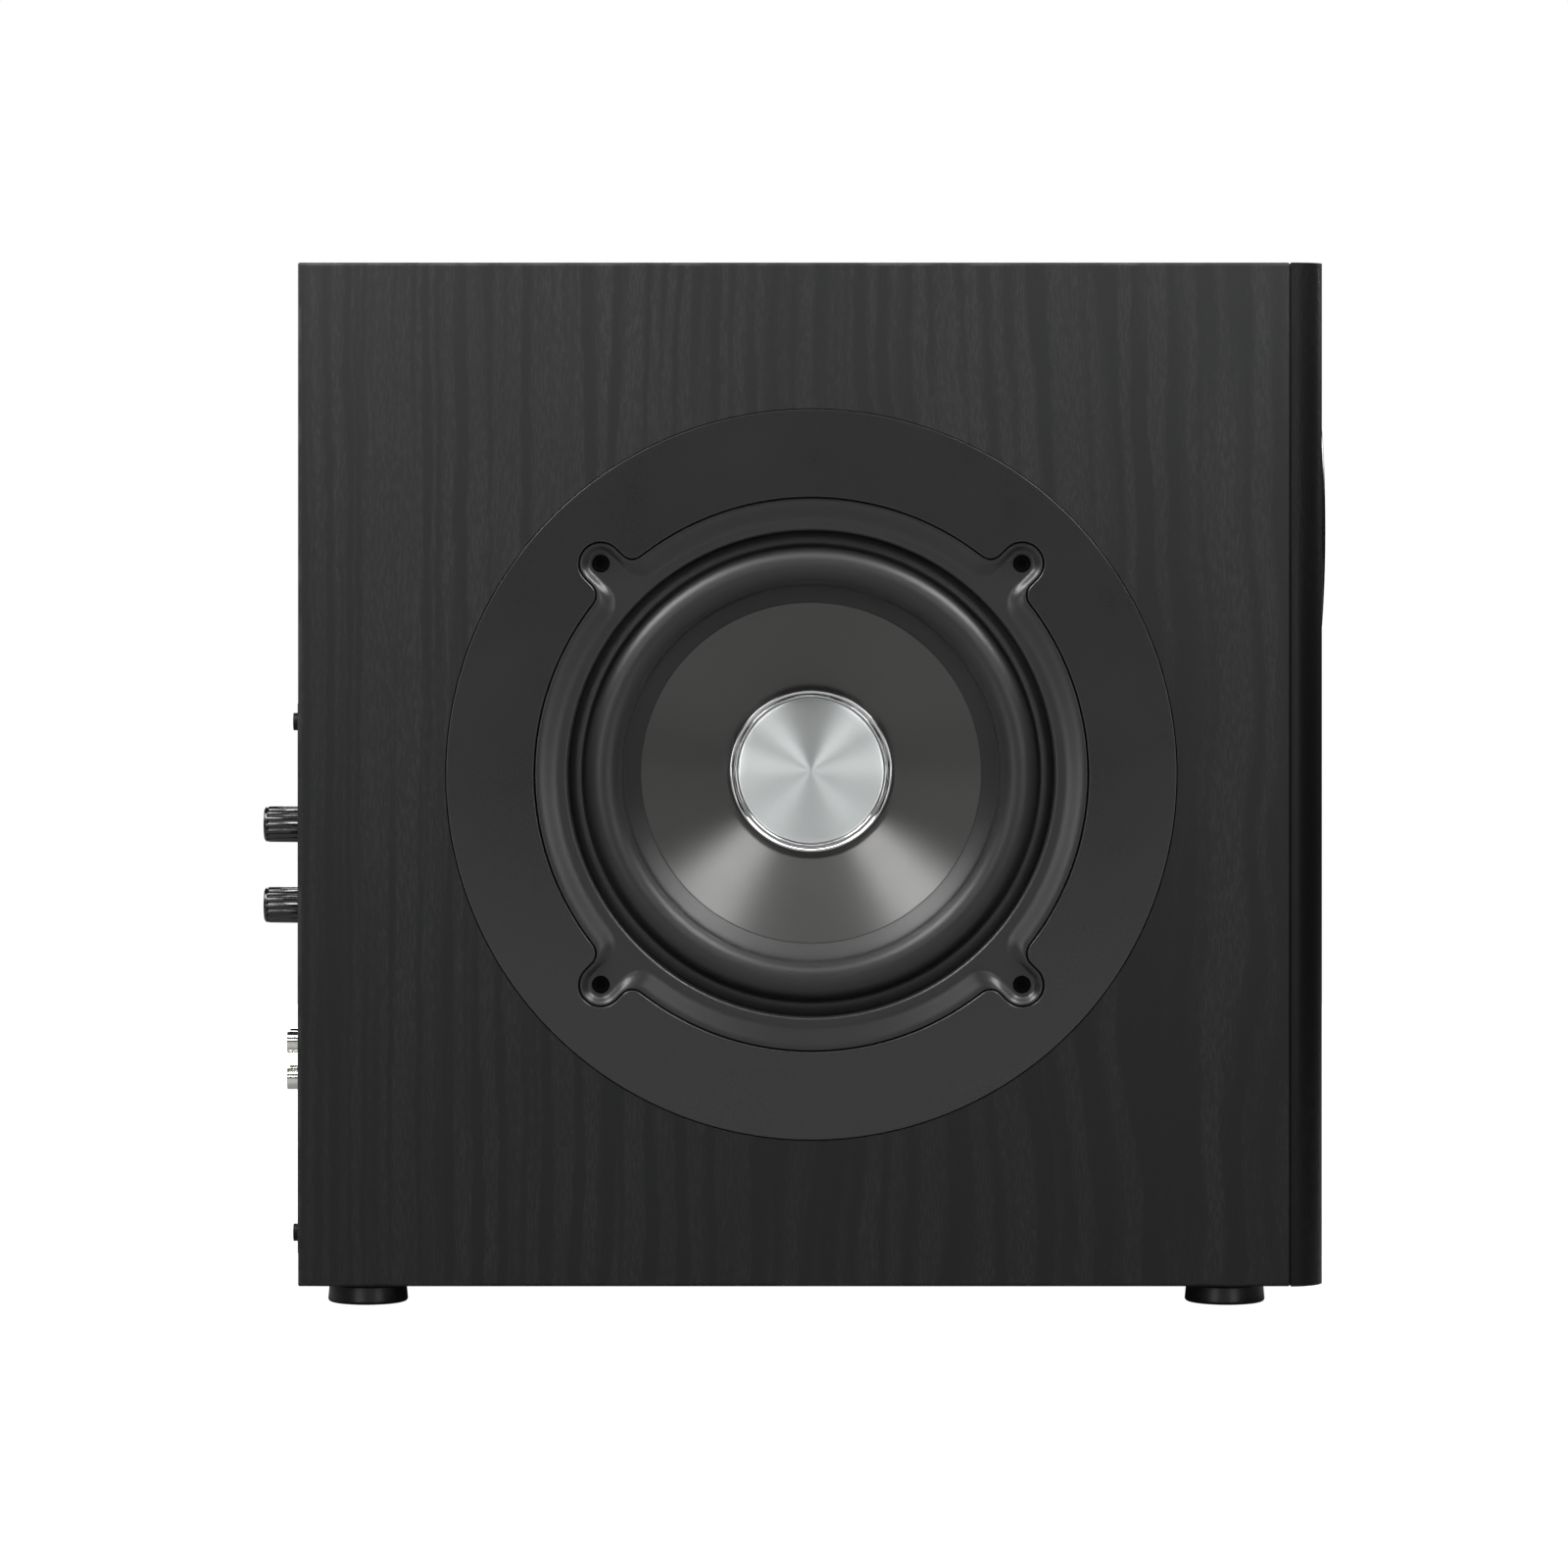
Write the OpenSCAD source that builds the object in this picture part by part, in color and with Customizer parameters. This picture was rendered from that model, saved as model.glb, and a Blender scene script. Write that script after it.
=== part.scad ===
// Powered subwoofer with a side-firing 8 inch driver, a flared front port and a rear amplifier.
// Millimetres. +Z is up, the front faces -Y, the driver faces -X, and Z = 0 is the floor.
// The origin is the centre of the overall footprint.

/* [Cabinet] */
// Width from the driver side to the plain side
cab_w = 330; // [290:1:400]
// Depth from the front face to the rear face
cab_d = 381; // [330:1:460]
// Height without the feet
cab_h = 380; // [330:1:460]
// Thickness of the wrapped boards and the rear board
wall = 15; // [12:0.5:22]
// Visible thickness of the front baffle
baffle_lip = 13; // [10:0.5:20]
// Thickness of the baffle's plug inside the wrap
baffle_plug = 7; // [4:0.5:12]
// Radius on the baffle's two upright edges
baffle_round = 12.6; // [6:0.1:12.8]
// Radius on the long corners of the wrap
corner_round = 1.2; // [0.6:0.1:3]
// Bevel along each visible joint
joint_bevel = 0.5; // [0.2:0.1:1]

/* [Feet] */
// Diameter of a rubber foot
foot_d = 30; // [24:1:40]
// Height of a rubber foot
foot_h = 9; // [6:0.5:16]
// Foot centre from the cabinet's side faces
foot_inset_x = 31; // [24:1:50]
// Front feet's centres from the wrap's front edge
foot_inset_front = 22; // [20:1:60]
// Rear feet's centres from the rear face
foot_inset_rear = 24; // [20:1:60]

/* [Driver trim] */
// Width of the flat trim ring round the flange
trim_w = 32.9; // [24:0.1:40]
// Thickness of the trim ring
trim_t = 3.2; // [2.4:0.1:5]
// How far the trim ring stands proud of the side
trim_proud = 0.2; // [0:0.1:1]

/* [Driver] */
// Radius of the well inside the basket's flange
well_r = 90.6; // [76:0.1:108]
// Width of the flange
flange_w = 12; // [10:0.1:16]
// Thickness of the flange
flange_t = 3.3; // [2.5:0.1:5]
// Depth of the flange's outer rim below the side
rim_drop = 0.8; // [0.4:0.1:2]
// Depth of the flange's dished face below the side
flange_drop = 3.2; // [2.4:0.1:4.5]
// Width of the dished wall inside the rim
dish_w = 8.6; // [5:0.1:9.5]
// How far the driver screws lie outside the flange's edge
ear_out = 8; // [6:0.1:10]
// Radius of an ear round its screw
ear_r = 7.8; // [6.5:0.1:9]
// Fillet between an ear and the flange
ear_fillet = 5.4; // [3:0.1:8]
// Depth of the ledge that carries the surround
ledge_depth = 12; // [9:0.5:16]
// Width of the surround's flat foot on the ledge
foot_band = 5.8; // [4:0.1:8]
// Width of the surround's roll
roll_w = 14.8; // [10:0.1:18]
// Thickness of the rubber
rubber_t = 0.9; // [0.6:0.1:1.4]
// Width of the band where the surround is glued to the cone
band_w = 6.5; // [4:0.1:9]
// Depth of the cone's neck below the side
neck_depth = 42.5; // [35:0.5:51]
// Thickness of the cone
cone_t = 0.8; // [0.5:0.1:1.5]
// Radius of the dust cap's disc
cap_r = 27.4; // [22:0.1:33]
// Width of the bright ring round the dust cap
cap_ring_w = 3.3; // [2.4:0.1:5]
// Outer radius of the voice-coil former
former_r = 17; // [14:0.1:21]
// How far the cone travels each way
cone_travel = 5; // [2:0.5:6]

/* [Motor] */
// Radius of the ferrite magnet
magnet_r = 50; // [46:1:58]
// Thickness of the ferrite magnet
magnet_t = 17; // [12:1:22]
// Thickness of each steel plate
plate_t = 6; // [4:0.5:9]
// Radial gap on each side of the former and coil
coil_gap = 0.45; // [0.3:0.05:0.8]

/* [Port] */
// Port's axis below the cabinet's top
port_drop = 99; // [70:1:140]
// Bore radius of the port
port_r = 34; // [28:0.5:41]
// Wall of the port tube
port_wall = 3; // [2:0.5:4]
// Width of the flared ring round the bore
flare_w = 24; // [20:0.5:30]
// How far the flared ring stands out of the front
flare_proud = 9.8; // [6:0.1:16]
// Length of the port from the front face
port_len = 190; // [140:1:200]

/* [Amplifier panel] */
// Width of the metal panel
panel_w = 282; // [235:1:290]
// Height of the metal panel
panel_h = 206; // [171:1:247]
// Lower edge of the panel above the cabinet's underside
panel_low = 9.6; // [8:0.1:30]
// Thickness of the metal panel
panel_t = 1.2; // [1:0.1:2]
// Thickness of the foam seal behind it
seal_t = 0.8; // [0.5:0.1:1.5]
// Screw centre from the panel's edge
panel_screw_inset = 7; // [6:0.5:7.5]
// Width of the flange that lies on the rear board
panel_land = 15; // [14:0.5:18]

/* [Controls] */
// Volume knob below the panel's top edge
volume_drop = 47.4; // [40:0.1:55]
// Low-pass knob below the volume knob
knob_pitch = 30.8; // [24:0.1:36]
// Knobs from the panel's edge on the driver side
knob_inset = 43; // [36:1:52]
// Diameter of a knob
knob_d = 14; // [12:0.5:18]
// How far a knob stands out of the rear face
knob_proud = 18; // [15:0.5:24]
// Number of flats round a knob
knob_flats = 16; // [14:1:20]
// Radius of a potentiometer's shaft
shaft_r = 3; // [2.5:0.1:3.2]
// Travel of the phase switch
phase_travel = 3; // [2:0.5:4]
// Tilt of the power rocker each way
rocker_tilt = 8; // [5:1:9]

/* [Connectors] */
// Phono block's centre below the panel's top edge
jack_drop = 138; // [120:0.1:150]
// Phono block's centre from the panel's edge on the driver side
jack_inset = 56; // [48:1:70]
// Spacing of the phono jacks, both ways
jack_pitch = 14; // [13:0.5:16]
// Radius of a phono jack's shell
jack_r = 4.15; // [4:0.05:4.3]
// Length of a phono jack's shell outside the panel
jack_len = 7.6; // [7:0.1:10]

/* [Fits] */
// Gap round a piece that is laid in a recess
lay_gap = 0.4; // [0.2:0.05:0.8]
// Radial gap of a turning shaft
run_gap = 0.05; // [0.03:0.01:0.1]

/* [Hidden] */
$fn = 96;
// A hair of extra length, so that a cut runs past the face it opens.
over = 1;

// Overall depth, and the planes that everything is placed from
total_d = flare_proud + cab_d + knob_proud;
front_y = flare_proud - total_d / 2;
rear_y = front_y + cab_d;
joint_y = front_y + baffle_lip;
base_z = foot_h;
top_z = base_z + cab_h;
inner_w = cab_w - 2 * wall;
inner_h = cab_h - 2 * wall;
side_x = -cab_w / 2;

// Radii of the driver, built outwards and inwards from its well
flange_r = well_r + flange_w;
ear_pitch_r = flange_r + ear_out;
trim_r = flange_r + trim_w;
roll_outer_r = well_r - foot_band;
roll_inner_r = roll_outer_r - roll_w;
cap_ring_r = cap_r + cap_ring_w;
flare_r = port_r + flare_w;

// The driver's axis runs along X through the middle of the side.
driver_y = (front_y + rear_y) / 2;
driver_z = base_z + cab_h / 2;
port_z = top_z - port_drop;

// Driver levels along its axis, with 0 at the side's outer face and minus inwards
trim_recess = trim_t - trim_proud;
gasket_t = 1.5;
flange_floor = -flange_drop - flange_t;
pocket_depth = flange_drop + flange_t + gasket_t;
pocket_r = ear_pitch_r + ear_r + 1.4;
cutout_r = well_r + 3.3;
basket_sheet = 2;
basket_r = well_r + basket_sheet;
ledge_r = roll_outer_r - 1.8;
rim_w = 1.2;
// Ear screws
screw_bore_r = 3.35;
screw_neck_r = 2.2;
screw_shank_r = 1.9;
screw_head_r = 3.1;
screw_head_t = 1.3;
counterbore = 1.8;
screw_tip_wall = 1.5;
driver_screw_len = wall - screw_tip_wall - flange_drop - counterbore + 0.2;
// Spider, its shelf and the motor
leg_top = -ledge_depth - basket_sheet;
spider_drop = 8.5;
shelf_z = -neck_depth - spider_drop;
shelf_r = 60.5;
cup_r = 48;
cup_depth = 11;
seat_z = shelf_z - cup_depth;
spider_r = 56;
spider_t = 0.5;
spider_wave = 1.5;
spider_waves = 4;
yoke_top = seat_z - basket_sheet;
magnet_top = yoke_top - plate_t;
magnet_end = magnet_top - magnet_t;
motor_end = magnet_end - plate_t;
plate_r = magnet_r - 5;
boot_t = 2;
boot_gap = 0.4;
coil_t = 0.45;
coil_len = 14;
former_wall = 0.4;
former_top = -neck_depth + 3;
coil_mid = yoke_top - plate_t / 2;
former_end = coil_mid - coil_len / 2 - 2;
pole_r = former_r - former_wall - coil_gap;
gap_r = former_r + coil_t + coil_gap;
vent_r = 4;

// The cone's front face is a straight line from its rim to its neck.
rim_z = -ledge_depth - 0.1;
cone_slope = (rim_z + neck_depth) / (roll_inner_r - former_r);
function cone_z(r) = rim_z - (roll_inner_r - r) * cone_slope;
// Its back runs a little steeper, to the collar round the former.
back_slope = (rim_z + neck_depth) / (roll_inner_r - former_r - 1);
function cone_back(r) = rim_z - cone_t - (roll_inner_r - r) * back_slope;
roll_base = -ledge_depth + rubber_t;
roll_mid_r = (roll_outer_r + roll_inner_r) / 2;
roll_r = (roll_outer_r - roll_inner_r) / 2;
band_t = 0.5;
// The bright ring and the dust cap in it
ring_inner_r = cap_r + 0.1;
ring_lip = 1.6;
ring_top = cone_z(cap_ring_r) + 2.6;
cap_edge_z = ring_top - 0.7;
cap_rise = 1.5;
cap_t = 0.8;
leg_foot_r = shelf_r - 2.4;
window_sill = 2.5;
// Terminal board on the shelf, with its lugs in the window that faces the amplifier
board_r = spider_r + 0.5;
board_w = 18;
board_top = shelf_z + 6;
lug_w = 3;
lug_t = 0.8;
lug_z = shelf_z + window_sill + 0.5;
lug_end = shelf_r + 8;
lug_gap = 8;

// Amplifier panel planes, outwards from the rear face
seal_y = rear_y + seal_t;
panel_y = seal_y + panel_t;
panel_mid_z = base_z + panel_low + panel_h / 2;
panel_top = base_z + panel_low + panel_h;
panel_edge = -panel_w / 2;
panel_open_w = panel_w - 2 * panel_land;
panel_open_h = panel_h - 2 * panel_land;
screw_x = panel_w / 2 - panel_screw_inset;
screw_z = panel_h / 2 - panel_screw_inset;
pan_head_r = 3.3;
pan_head_t = 2;
pan_shank_r = 1.45;
pan_len = 12;
screw_columns = 4;

// Controls
knob_x = panel_edge + knob_inset;
volume_z = panel_top - volume_drop;
lowpass_z = volume_z - knob_pitch;
knob_gap = 0.8;
knob_end = rear_y + knob_proud;
nut_t = 1.6;
nut_across = 9;
bushing_r = 3.5;
knob_base = panel_y + knob_gap;
knob_hollow = nut_t + 0.8;
pot_r = 8.5;
// The potentiometers, the phase switch and the phono block stand on the circuit board.
pot_t = 11;
board_t = 1.6;
board_y = seal_y - pot_t;
marker_w = 1.1;
marker_t = 0.3;

// Phase switch, power rocker, mains inlet and indicator
phase_x = knob_x + 46;
phase_z = lowpass_z + 5;
phase_slot_w = 8.4;
phase_slot_h = 4;
phase_tab_w = 4.6;
phase_tab_h = 3.2;
phase_tab_proud = 3.4;
power_x = panel_w / 2 - 49;
rocker_z = panel_top - 87.6;
rocker_w = 13;
rocker_h = 19.4;
rocker_frame_w = 18;
rocker_frame_h = 25;
rocker_bezel = 1.8;
rocker_depth = 13;
rocker_pin_r = 1.2;
rocker_pin_half = rocker_w / 2 + 0.9;
rocker_pivot_y = panel_y - 3.5;
inlet_z = rocker_z - 50;
inlet_w = 24.6;
inlet_h = 16.8;
inlet_frame_w = 31;
inlet_frame_h = 24;
inlet_bezel = 2.2;
inlet_depth = 17;
inlet_wall = 1.6;
pin_w = 4;
pin_t = 2;
led_r = 1.5;
led_x = knob_x;
led_z = volume_z + 27.8;

// Phono block
jack_x = panel_edge + jack_inset;
jack_z = panel_top - jack_drop;
jack_bore_r = 1.6;
jack_wall = 0.6;
jack_flange_r = 5;
jack_flange_t = 0.8;
jack_block_w = jack_pitch + 16;

// Inside the cabinet
pcb_margin_x = 21;
pcb_margin_z = 13;
pcb_w = panel_open_w - 2 * pcb_margin_x;
pcb_h = panel_open_h - 2 * pcb_margin_z;
pcb_x = 0;
sink_x = 20;
sink_w = 96;
sink_h = 60;
sink_base = 5;
sink_fin_len = 22;
sink_fins = 12;
sink_fin_t = 2;
cap_can_r = 11;
cap_can_h = 32;
toroid_r = 44;
toroid_hole_r = 15;
toroid_t = 36;
toroid_x = 60;
toroid_y = 40;
brace_w = 20;
brace_h = 40;
brace_y = driver_y + 104;
brace_z = top_z - 84;
wool_t = 22;
// Twin lead from the driver's lugs to the circuit board
wire_r = 1.2;
wire_gap = 3;
wire_x = panel_edge + 72;
wire_z = panel_mid_z + 43.4;
// Flexible leads from the cone's back to the terminal board
flex_start = 30;
flex_r = 0.7;

// ---------- Helpers ----------

// Points of an arc about (cx, cy), from angle a to angle b in n steps
function arc(cx, cy, r, a, b, n) = [
    for (i = [0 : n]) let (t = a + (b - a) * i / n) [cx + r * cos(t), cy + r * sin(t)]
];

// Outline of a round flange with four ears at 45 degrees, joined by fillets
function eared(r, er, f, pitch) =
    let (cx = sqrt(pow(r + f, 2) - pow(er + f, 2)), p = atan2(er + f, cx))
    [
        for (q = [0 : 3], v = concat(
            arc(cx, -er - f, f, 180 - p, 90, 5),
            arc(pitch, 0, er, -90, 90, 14),
            arc(cx, er + f, f, -90, p - 180, 5),
            arc(0, 0, r, p + 2, 88 - p, 20)
        )) let (t = 45 + 90 * q) [v[0] * cos(t) - v[1] * sin(t), v[0] * sin(t) + v[1] * cos(t)]
    ];

// Points along a smooth curve with four control points
function curve(p, n) = [
    for (i = [0 : n]) let (t = i / n, u = 1 - t)
        u * u * u * p[0] + 3 * u * u * t * p[1] + 3 * u * t * t * p[2] + t * t * t * p[3]
];

// A flat shape in X and Z, made solid between two Y planes
module slab(y0, y1) {
    translate([0, y1, 0]) rotate([90, 0, 0]) linear_extrude(y1 - y0) children();
}

// A round rod along Y
module rod(x, z, y0, y1, r) {
    translate([x, y1, z]) rotate([90, 0, 0]) cylinder(r = r, h = y1 - y0);
}

// A box between two corners
module block(a, b) {
    translate(a) cube(b - a);
}

// A rectangle about a centre
module plate2d(x, z, w, h) {
    translate([x - w / 2, z - h / 2]) square([w, h]);
}

// Puts what is drawn along +Z onto the driver's axis, pointing out of the side
module on_driver() {
    translate([side_x, driver_y, driver_z]) rotate([0, -90, 0]) children();
}

// Puts what is drawn along +Z onto the port's axis, pointing out of the front
module on_port() {
    translate([0, front_y, port_z]) rotate([90, 0, 0]) children();
}

// A disc or ring about the Z axis between two levels
module ring(r_out, r_in, z0, z1) {
    difference() {
        translate([0, 0, z0]) cylinder(r = r_out, h = z1 - z0);
        if (r_in > 0)
            translate([0, 0, z0 - over]) cylinder(r = r_in, h = z1 - z0 + 2 * over);
    }
}

// A tube swept along a path of points
module tube(path, r, sides = 8) {
    n = len(path);
    function ahead(i) = path[min(i + 1, n - 1)] - path[max(i - 1, 0)];
    function unit(v) = v / norm(v);
    rings = [
        for (i = [0 : n - 1])
            let (t = unit(ahead(i)), up = abs(t[2]) < 0.9 ? [0, 0, 1] : [1, 0, 0])
            let (u = unit(cross(t, up)), w = cross(t, u))
            for (k = [0 : sides - 1])
                path[i] + r * (cos(360 * k / sides) * u + sin(360 * k / sides) * w)
    ];
    walls = [
        for (i = [0 : n - 2], k = [0 : sides - 1])
            let (m = (k + 1) % sides)
            [i * sides + k, (i + 1) * sides + k, (i + 1) * sides + m, i * sides + m]
    ];
    ends = [
        [for (k = [0 : sides - 1]) k],
        [for (k = [sides - 1 : -1 : 0]) (n - 1) * sides + k]
    ];
    polyhedron(points = rings, faces = concat(walls, ends));
}

// ---------- Cabinet ----------

// Section of the wrap in X and Z, as a solid rectangle with round corners
module wrap_outline() {
    r = corner_round;
    translate([-cab_w / 2 + r, base_z]) square([cab_w - 2 * r, cab_h]);
    translate([-cab_w / 2, base_z + r]) square([cab_w, cab_h - 2 * r]);
    for (x = [-1, 1], z = [base_z + r, top_z - r])
        translate([x * (cab_w / 2 - r), z]) circle(r = r);
}

// A mitred board of the wrap between the baffle and the rear edge
module wrap_board(corners) {
    slab(joint_y, rear_y) intersection() {
        wrap_outline();
        polygon(corners);
    }
}

// Triangular cut along an outer edge that runs upright
module upright_bevel(x, y, s) {
    translate([x, y, base_z - over])
        linear_extrude(cab_h + 2 * over) polygon([[-s, 0], [0, -s], [s, 0], [0, s]]);
}

// The same along an edge that runs across
module cross_bevel(y, z, s) {
    translate([-cab_w / 2 - over, y, z]) rotate([90, 0, 90])
        linear_extrude(cab_w + 2 * over) polygon([[-s, 0], [0, -s], [s, 0], [0, s]]);
}

module side_board(x) {
    wrap_board([
        [x * cab_w / 2, base_z], [x * cab_w / 2, top_z],
        [x * inner_w / 2, top_z - wall], [x * inner_w / 2, base_z + wall]
    ]);
}

module driver_side_panel() {
    color([0.16, 0.16, 0.16]) difference() {
        side_board(-1);
        for (y = [joint_y, rear_y]) upright_bevel(side_x, y, joint_bevel);
        on_driver() {
            ring(trim_r + lay_gap, 0, -trim_recess, over);
            ring(pocket_r, 0, -pocket_depth, over);
            ring(cutout_r, 0, -wall - over, over);
            for (a = [45 : 90 : 315]) rotate(a) translate([ear_pitch_r, 0, -wall + screw_tip_wall])
                cylinder(r = screw_shank_r, h = wall);
        }
    }
}

module plain_side_panel() {
    color([0.16, 0.16, 0.16]) difference() {
        side_board(1);
        for (y = [joint_y, rear_y]) upright_bevel(cab_w / 2, y, joint_bevel);
    }
}

module lid_board(z, inner_z) {
    wrap_board([
        [-cab_w / 2, z], [cab_w / 2, z], [inner_w / 2, inner_z], [-inner_w / 2, inner_z]
    ]);
}

module top_panel() {
    color([0.16, 0.16, 0.16]) difference() {
        lid_board(top_z, top_z - wall);
        for (y = [joint_y, rear_y]) cross_bevel(y, top_z, joint_bevel);
    }
}

module bottom_panel() {
    color([0.16, 0.16, 0.16]) difference() {
        lid_board(base_z, base_z + wall);
        for (y = [joint_y, rear_y]) cross_bevel(y, base_z, joint_bevel);
        foot_places() translate([0, 0, base_z - over]) cylinder(r = foot_shank_r, h = foot_shank_in + over);
        translate([toroid_x, toroid_y, base_z + wall - bolt_in]) cylinder(r = bolt_r, h = bolt_in + over);
    }
}

module front_baffle() {
    r = baffle_round;
    color([0.14, 0.14, 0.14]) difference() {
        union() {
            translate([0, 0, base_z]) linear_extrude(cab_h) {
                translate([-cab_w / 2 + r, front_y]) square([cab_w - 2 * r, baffle_lip]);
                translate([-cab_w / 2, front_y + r]) square([cab_w, baffle_lip - r]);
                for (x = [-1, 1]) intersection() {
                    translate([x * (cab_w / 2 - r), front_y + r]) circle(r = r);
                    translate([x > 0 ? 0 : -cab_w / 2, front_y]) square([cab_w / 2, r]);
                }
            }
            block(
                [-inner_w / 2, joint_y, base_z + wall],
                [inner_w / 2, joint_y + baffle_plug, top_z - wall]
            );
        }
        for (x = [-1, 1]) upright_bevel(x * cab_w / 2, joint_y, joint_bevel);
        for (z = [base_z, top_z]) cross_bevel(joint_y, z, joint_bevel);
        on_port() ring(flare_socket_r, 0, -baffle_lip - baffle_plug - over, over);
    }
}

module rear_panel() {
    color([0.13, 0.13, 0.13]) difference() {
        block([-inner_w / 2, rear_y - wall, base_z + wall], [inner_w / 2, rear_y, top_z - wall]);
        slab(rear_y - wall - over, rear_y + over) plate2d(0, panel_mid_z, panel_open_w, panel_open_h);
        panel_screw_places() rod(0, 0, panel_y - pan_len, rear_y + over, pan_shank_r);
    }
}

module cross_brace() {
    color([0.72, 0.58, 0.4])
        block([-inner_w / 2, brace_y, brace_z], [inner_w / 2, brace_y + brace_w, brace_z + brace_h]);
}

// A mat of wadding under the top board
module damping_wool() {
    color([0.9, 0.9, 0.87]) block(
        [-inner_w / 2 + 14, joint_y + baffle_plug + 16, top_z - wall - wool_t],
        [inner_w / 2 - 14, rear_y - wall - 20, top_z - wall]
    );
}

// ---------- Feet ----------

foot_front_y = joint_y + foot_inset_front;
foot_rear_y = rear_y - foot_inset_rear;
foot_x = cab_w / 2 - foot_inset_x;
foot_shank_r = 1.9;
foot_shank_in = 11;
foot_recess_r = 7;
foot_recess = 4.5;

module foot_places() {
    for (x = [-foot_x, foot_x], y = [foot_front_y, foot_rear_y]) translate([x, y, 0]) children();
}

// A foot is a rubber cup with a small edge radius and a sunk screw hole.
module foot(x, y) {
    e = 0.8;
    r = foot_d / 2;
    color([0.05, 0.05, 0.05]) translate([x, y, 0]) rotate_extrude() polygon(concat(
        [[foot_shank_r, foot_recess], [foot_recess_r, foot_recess], [foot_recess_r, 0]],
        arc(r - e, e, e, -90, 0, 4),
        [[r - 0.3, foot_h], [foot_shank_r, foot_h]]
    ));
}

module foot_screws() {
    color([0.6, 0.6, 0.62]) foot_places() {
        translate([0, 0, foot_recess - 2]) cylinder(r = 4, h = 2);
        translate([0, 0, foot_recess - 1])
            cylinder(r = foot_shank_r, h = foot_h - foot_recess + 1 + foot_shank_in);
    }
}

// ---------- Driver ----------

module driver_trim_ring() {
    e = 0.4;
    r = trim_r;
    color([0.1, 0.1, 0.1]) on_driver() difference() {
        rotate_extrude() polygon([
            [flange_r - 20, -trim_recess], [r, -trim_recess], [r, trim_proud - e],
            [r - e, trim_proud], [flange_r - 20, trim_proud]
        ]);
        translate([0, 0, -trim_t - over]) linear_extrude(trim_t + 3 * over)
            polygon(eared(flange_r + lay_gap, ear_r + lay_gap, ear_fillet - lay_gap, ear_pitch_r));
    }
}

// The part of the basket behind the flange, as one thin revolved section
module basket_bowl() {
    s = basket_sheet;
    rotate_extrude() polygon([
        [well_r, flange_floor + s], [basket_r, flange_floor + s], [basket_r, leg_top], [shelf_r, shelf_z],
        [shelf_r, shelf_z - s], [cup_r + s, shelf_z - s], [cup_r + s, yoke_top], [gap_r + 2, yoke_top],
        [gap_r + 2, seat_z], [cup_r, seat_z], [cup_r, shelf_z], [leg_foot_r, shelf_z],
        [ledge_r + 4, leg_top], [ledge_r, leg_top], [ledge_r, leg_top + s], [well_r, leg_top + s]
    ]);
}

// What is cut from the flange's front: a dish with an S-shaped wall, and a pocket in each ear
module flange_dish() {
    fall = flange_drop - rim_drop;
    wall_r = flange_r - 0.4;
    rotate_extrude() polygon(concat(
        [[0, over], [0, -flange_drop], [wall_r - dish_w, -flange_drop]],
        [for (i = [1 : 12]) let (t = i / 12)
            [wall_r - dish_w * (1 - t), -flange_drop + fall * t * t * (3 - 2 * t)]],
        [[wall_r, over]]
    ));
    for (a = [45 : 90 : 315]) rotate(a) translate([0, 0, -flange_drop]) {
        translate([ear_pitch_r, 0, 0]) cylinder(r = ear_r - rim_w, h = flange_drop + over);
        translate([well_r, rim_w - ear_r, 0])
            cube([ear_pitch_r - well_r, 2 * (ear_r - rim_w), flange_drop + over]);
    }
}

module driver_basket() {
    window = 30;
    reach = basket_r + 10;
    color([0.12, 0.12, 0.12]) on_driver() difference() {
        union() {
            difference() {
                translate([0, 0, flange_floor]) linear_extrude(-rim_drop - flange_floor)
                    polygon(eared(flange_r, ear_r, ear_fillet, ear_pitch_r));
                flange_dish();
                ring(well_r, 0, flange_floor - over, over);
            }
            basket_bowl();
        }
        for (a = [0 : 90 : 270]) rotate(a) translate([0, 0, shelf_z + window_sill])
            linear_extrude(leg_top - shelf_z - 2 * window_sill)
                polygon([[0, 0], [reach, -reach * tan(window)], [reach, reach * tan(window)]]);
        for (a = [45 : 90 : 315]) rotate(a) translate([ear_pitch_r, 0, 0]) {
            ring(screw_bore_r, 0, -flange_drop - counterbore, over);
            ring(screw_neck_r, 0, flange_floor - over, over);
        }
    }
}

module driver_gasket() {
    color([0.03, 0.03, 0.03]) on_driver() ring(flange_r - 2, cutout_r + 0.5, -pocket_depth, flange_floor);
}

// Socket-head screws, sunk in the ears
module driver_screws() {
    color([0.04, 0.04, 0.04]) on_driver() for (a = [45 : 90 : 315])
        rotate(a) translate([ear_pitch_r, 0, -flange_drop - counterbore]) {
            difference() {
                cylinder(r = screw_head_r, h = screw_head_t);
                translate([0, 0, 0.4]) cylinder(r = 1.7, h = screw_head_t, $fn = 6);
            }
            translate([0, 0, 0.2 - driver_screw_len]) cylinder(r = screw_shank_r, h = driver_screw_len);
        }
}

// Rubber roll with a flat foot on the ledge and a sloping foot on the cone
module surround() {
    r = roll_r;
    steps = 20;
    color([0.07, 0.07, 0.07]) on_driver() rotate_extrude() polygon(concat(
        [[well_r - 0.4, -ledge_depth], [well_r - 0.4, roll_base]],
        arc(roll_mid_r, roll_base, r, 0, 180, steps),
        [[roll_inner_r - band_w, cone_z(roll_inner_r - band_w) + band_t]],
        [[roll_inner_r - band_w, cone_z(roll_inner_r - band_w)], [roll_inner_r, rim_z]],
        arc(roll_mid_r, roll_base, r - rubber_t, 180, 0, steps),
        [[roll_outer_r - rubber_t, -ledge_depth]]
    ));
}

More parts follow.
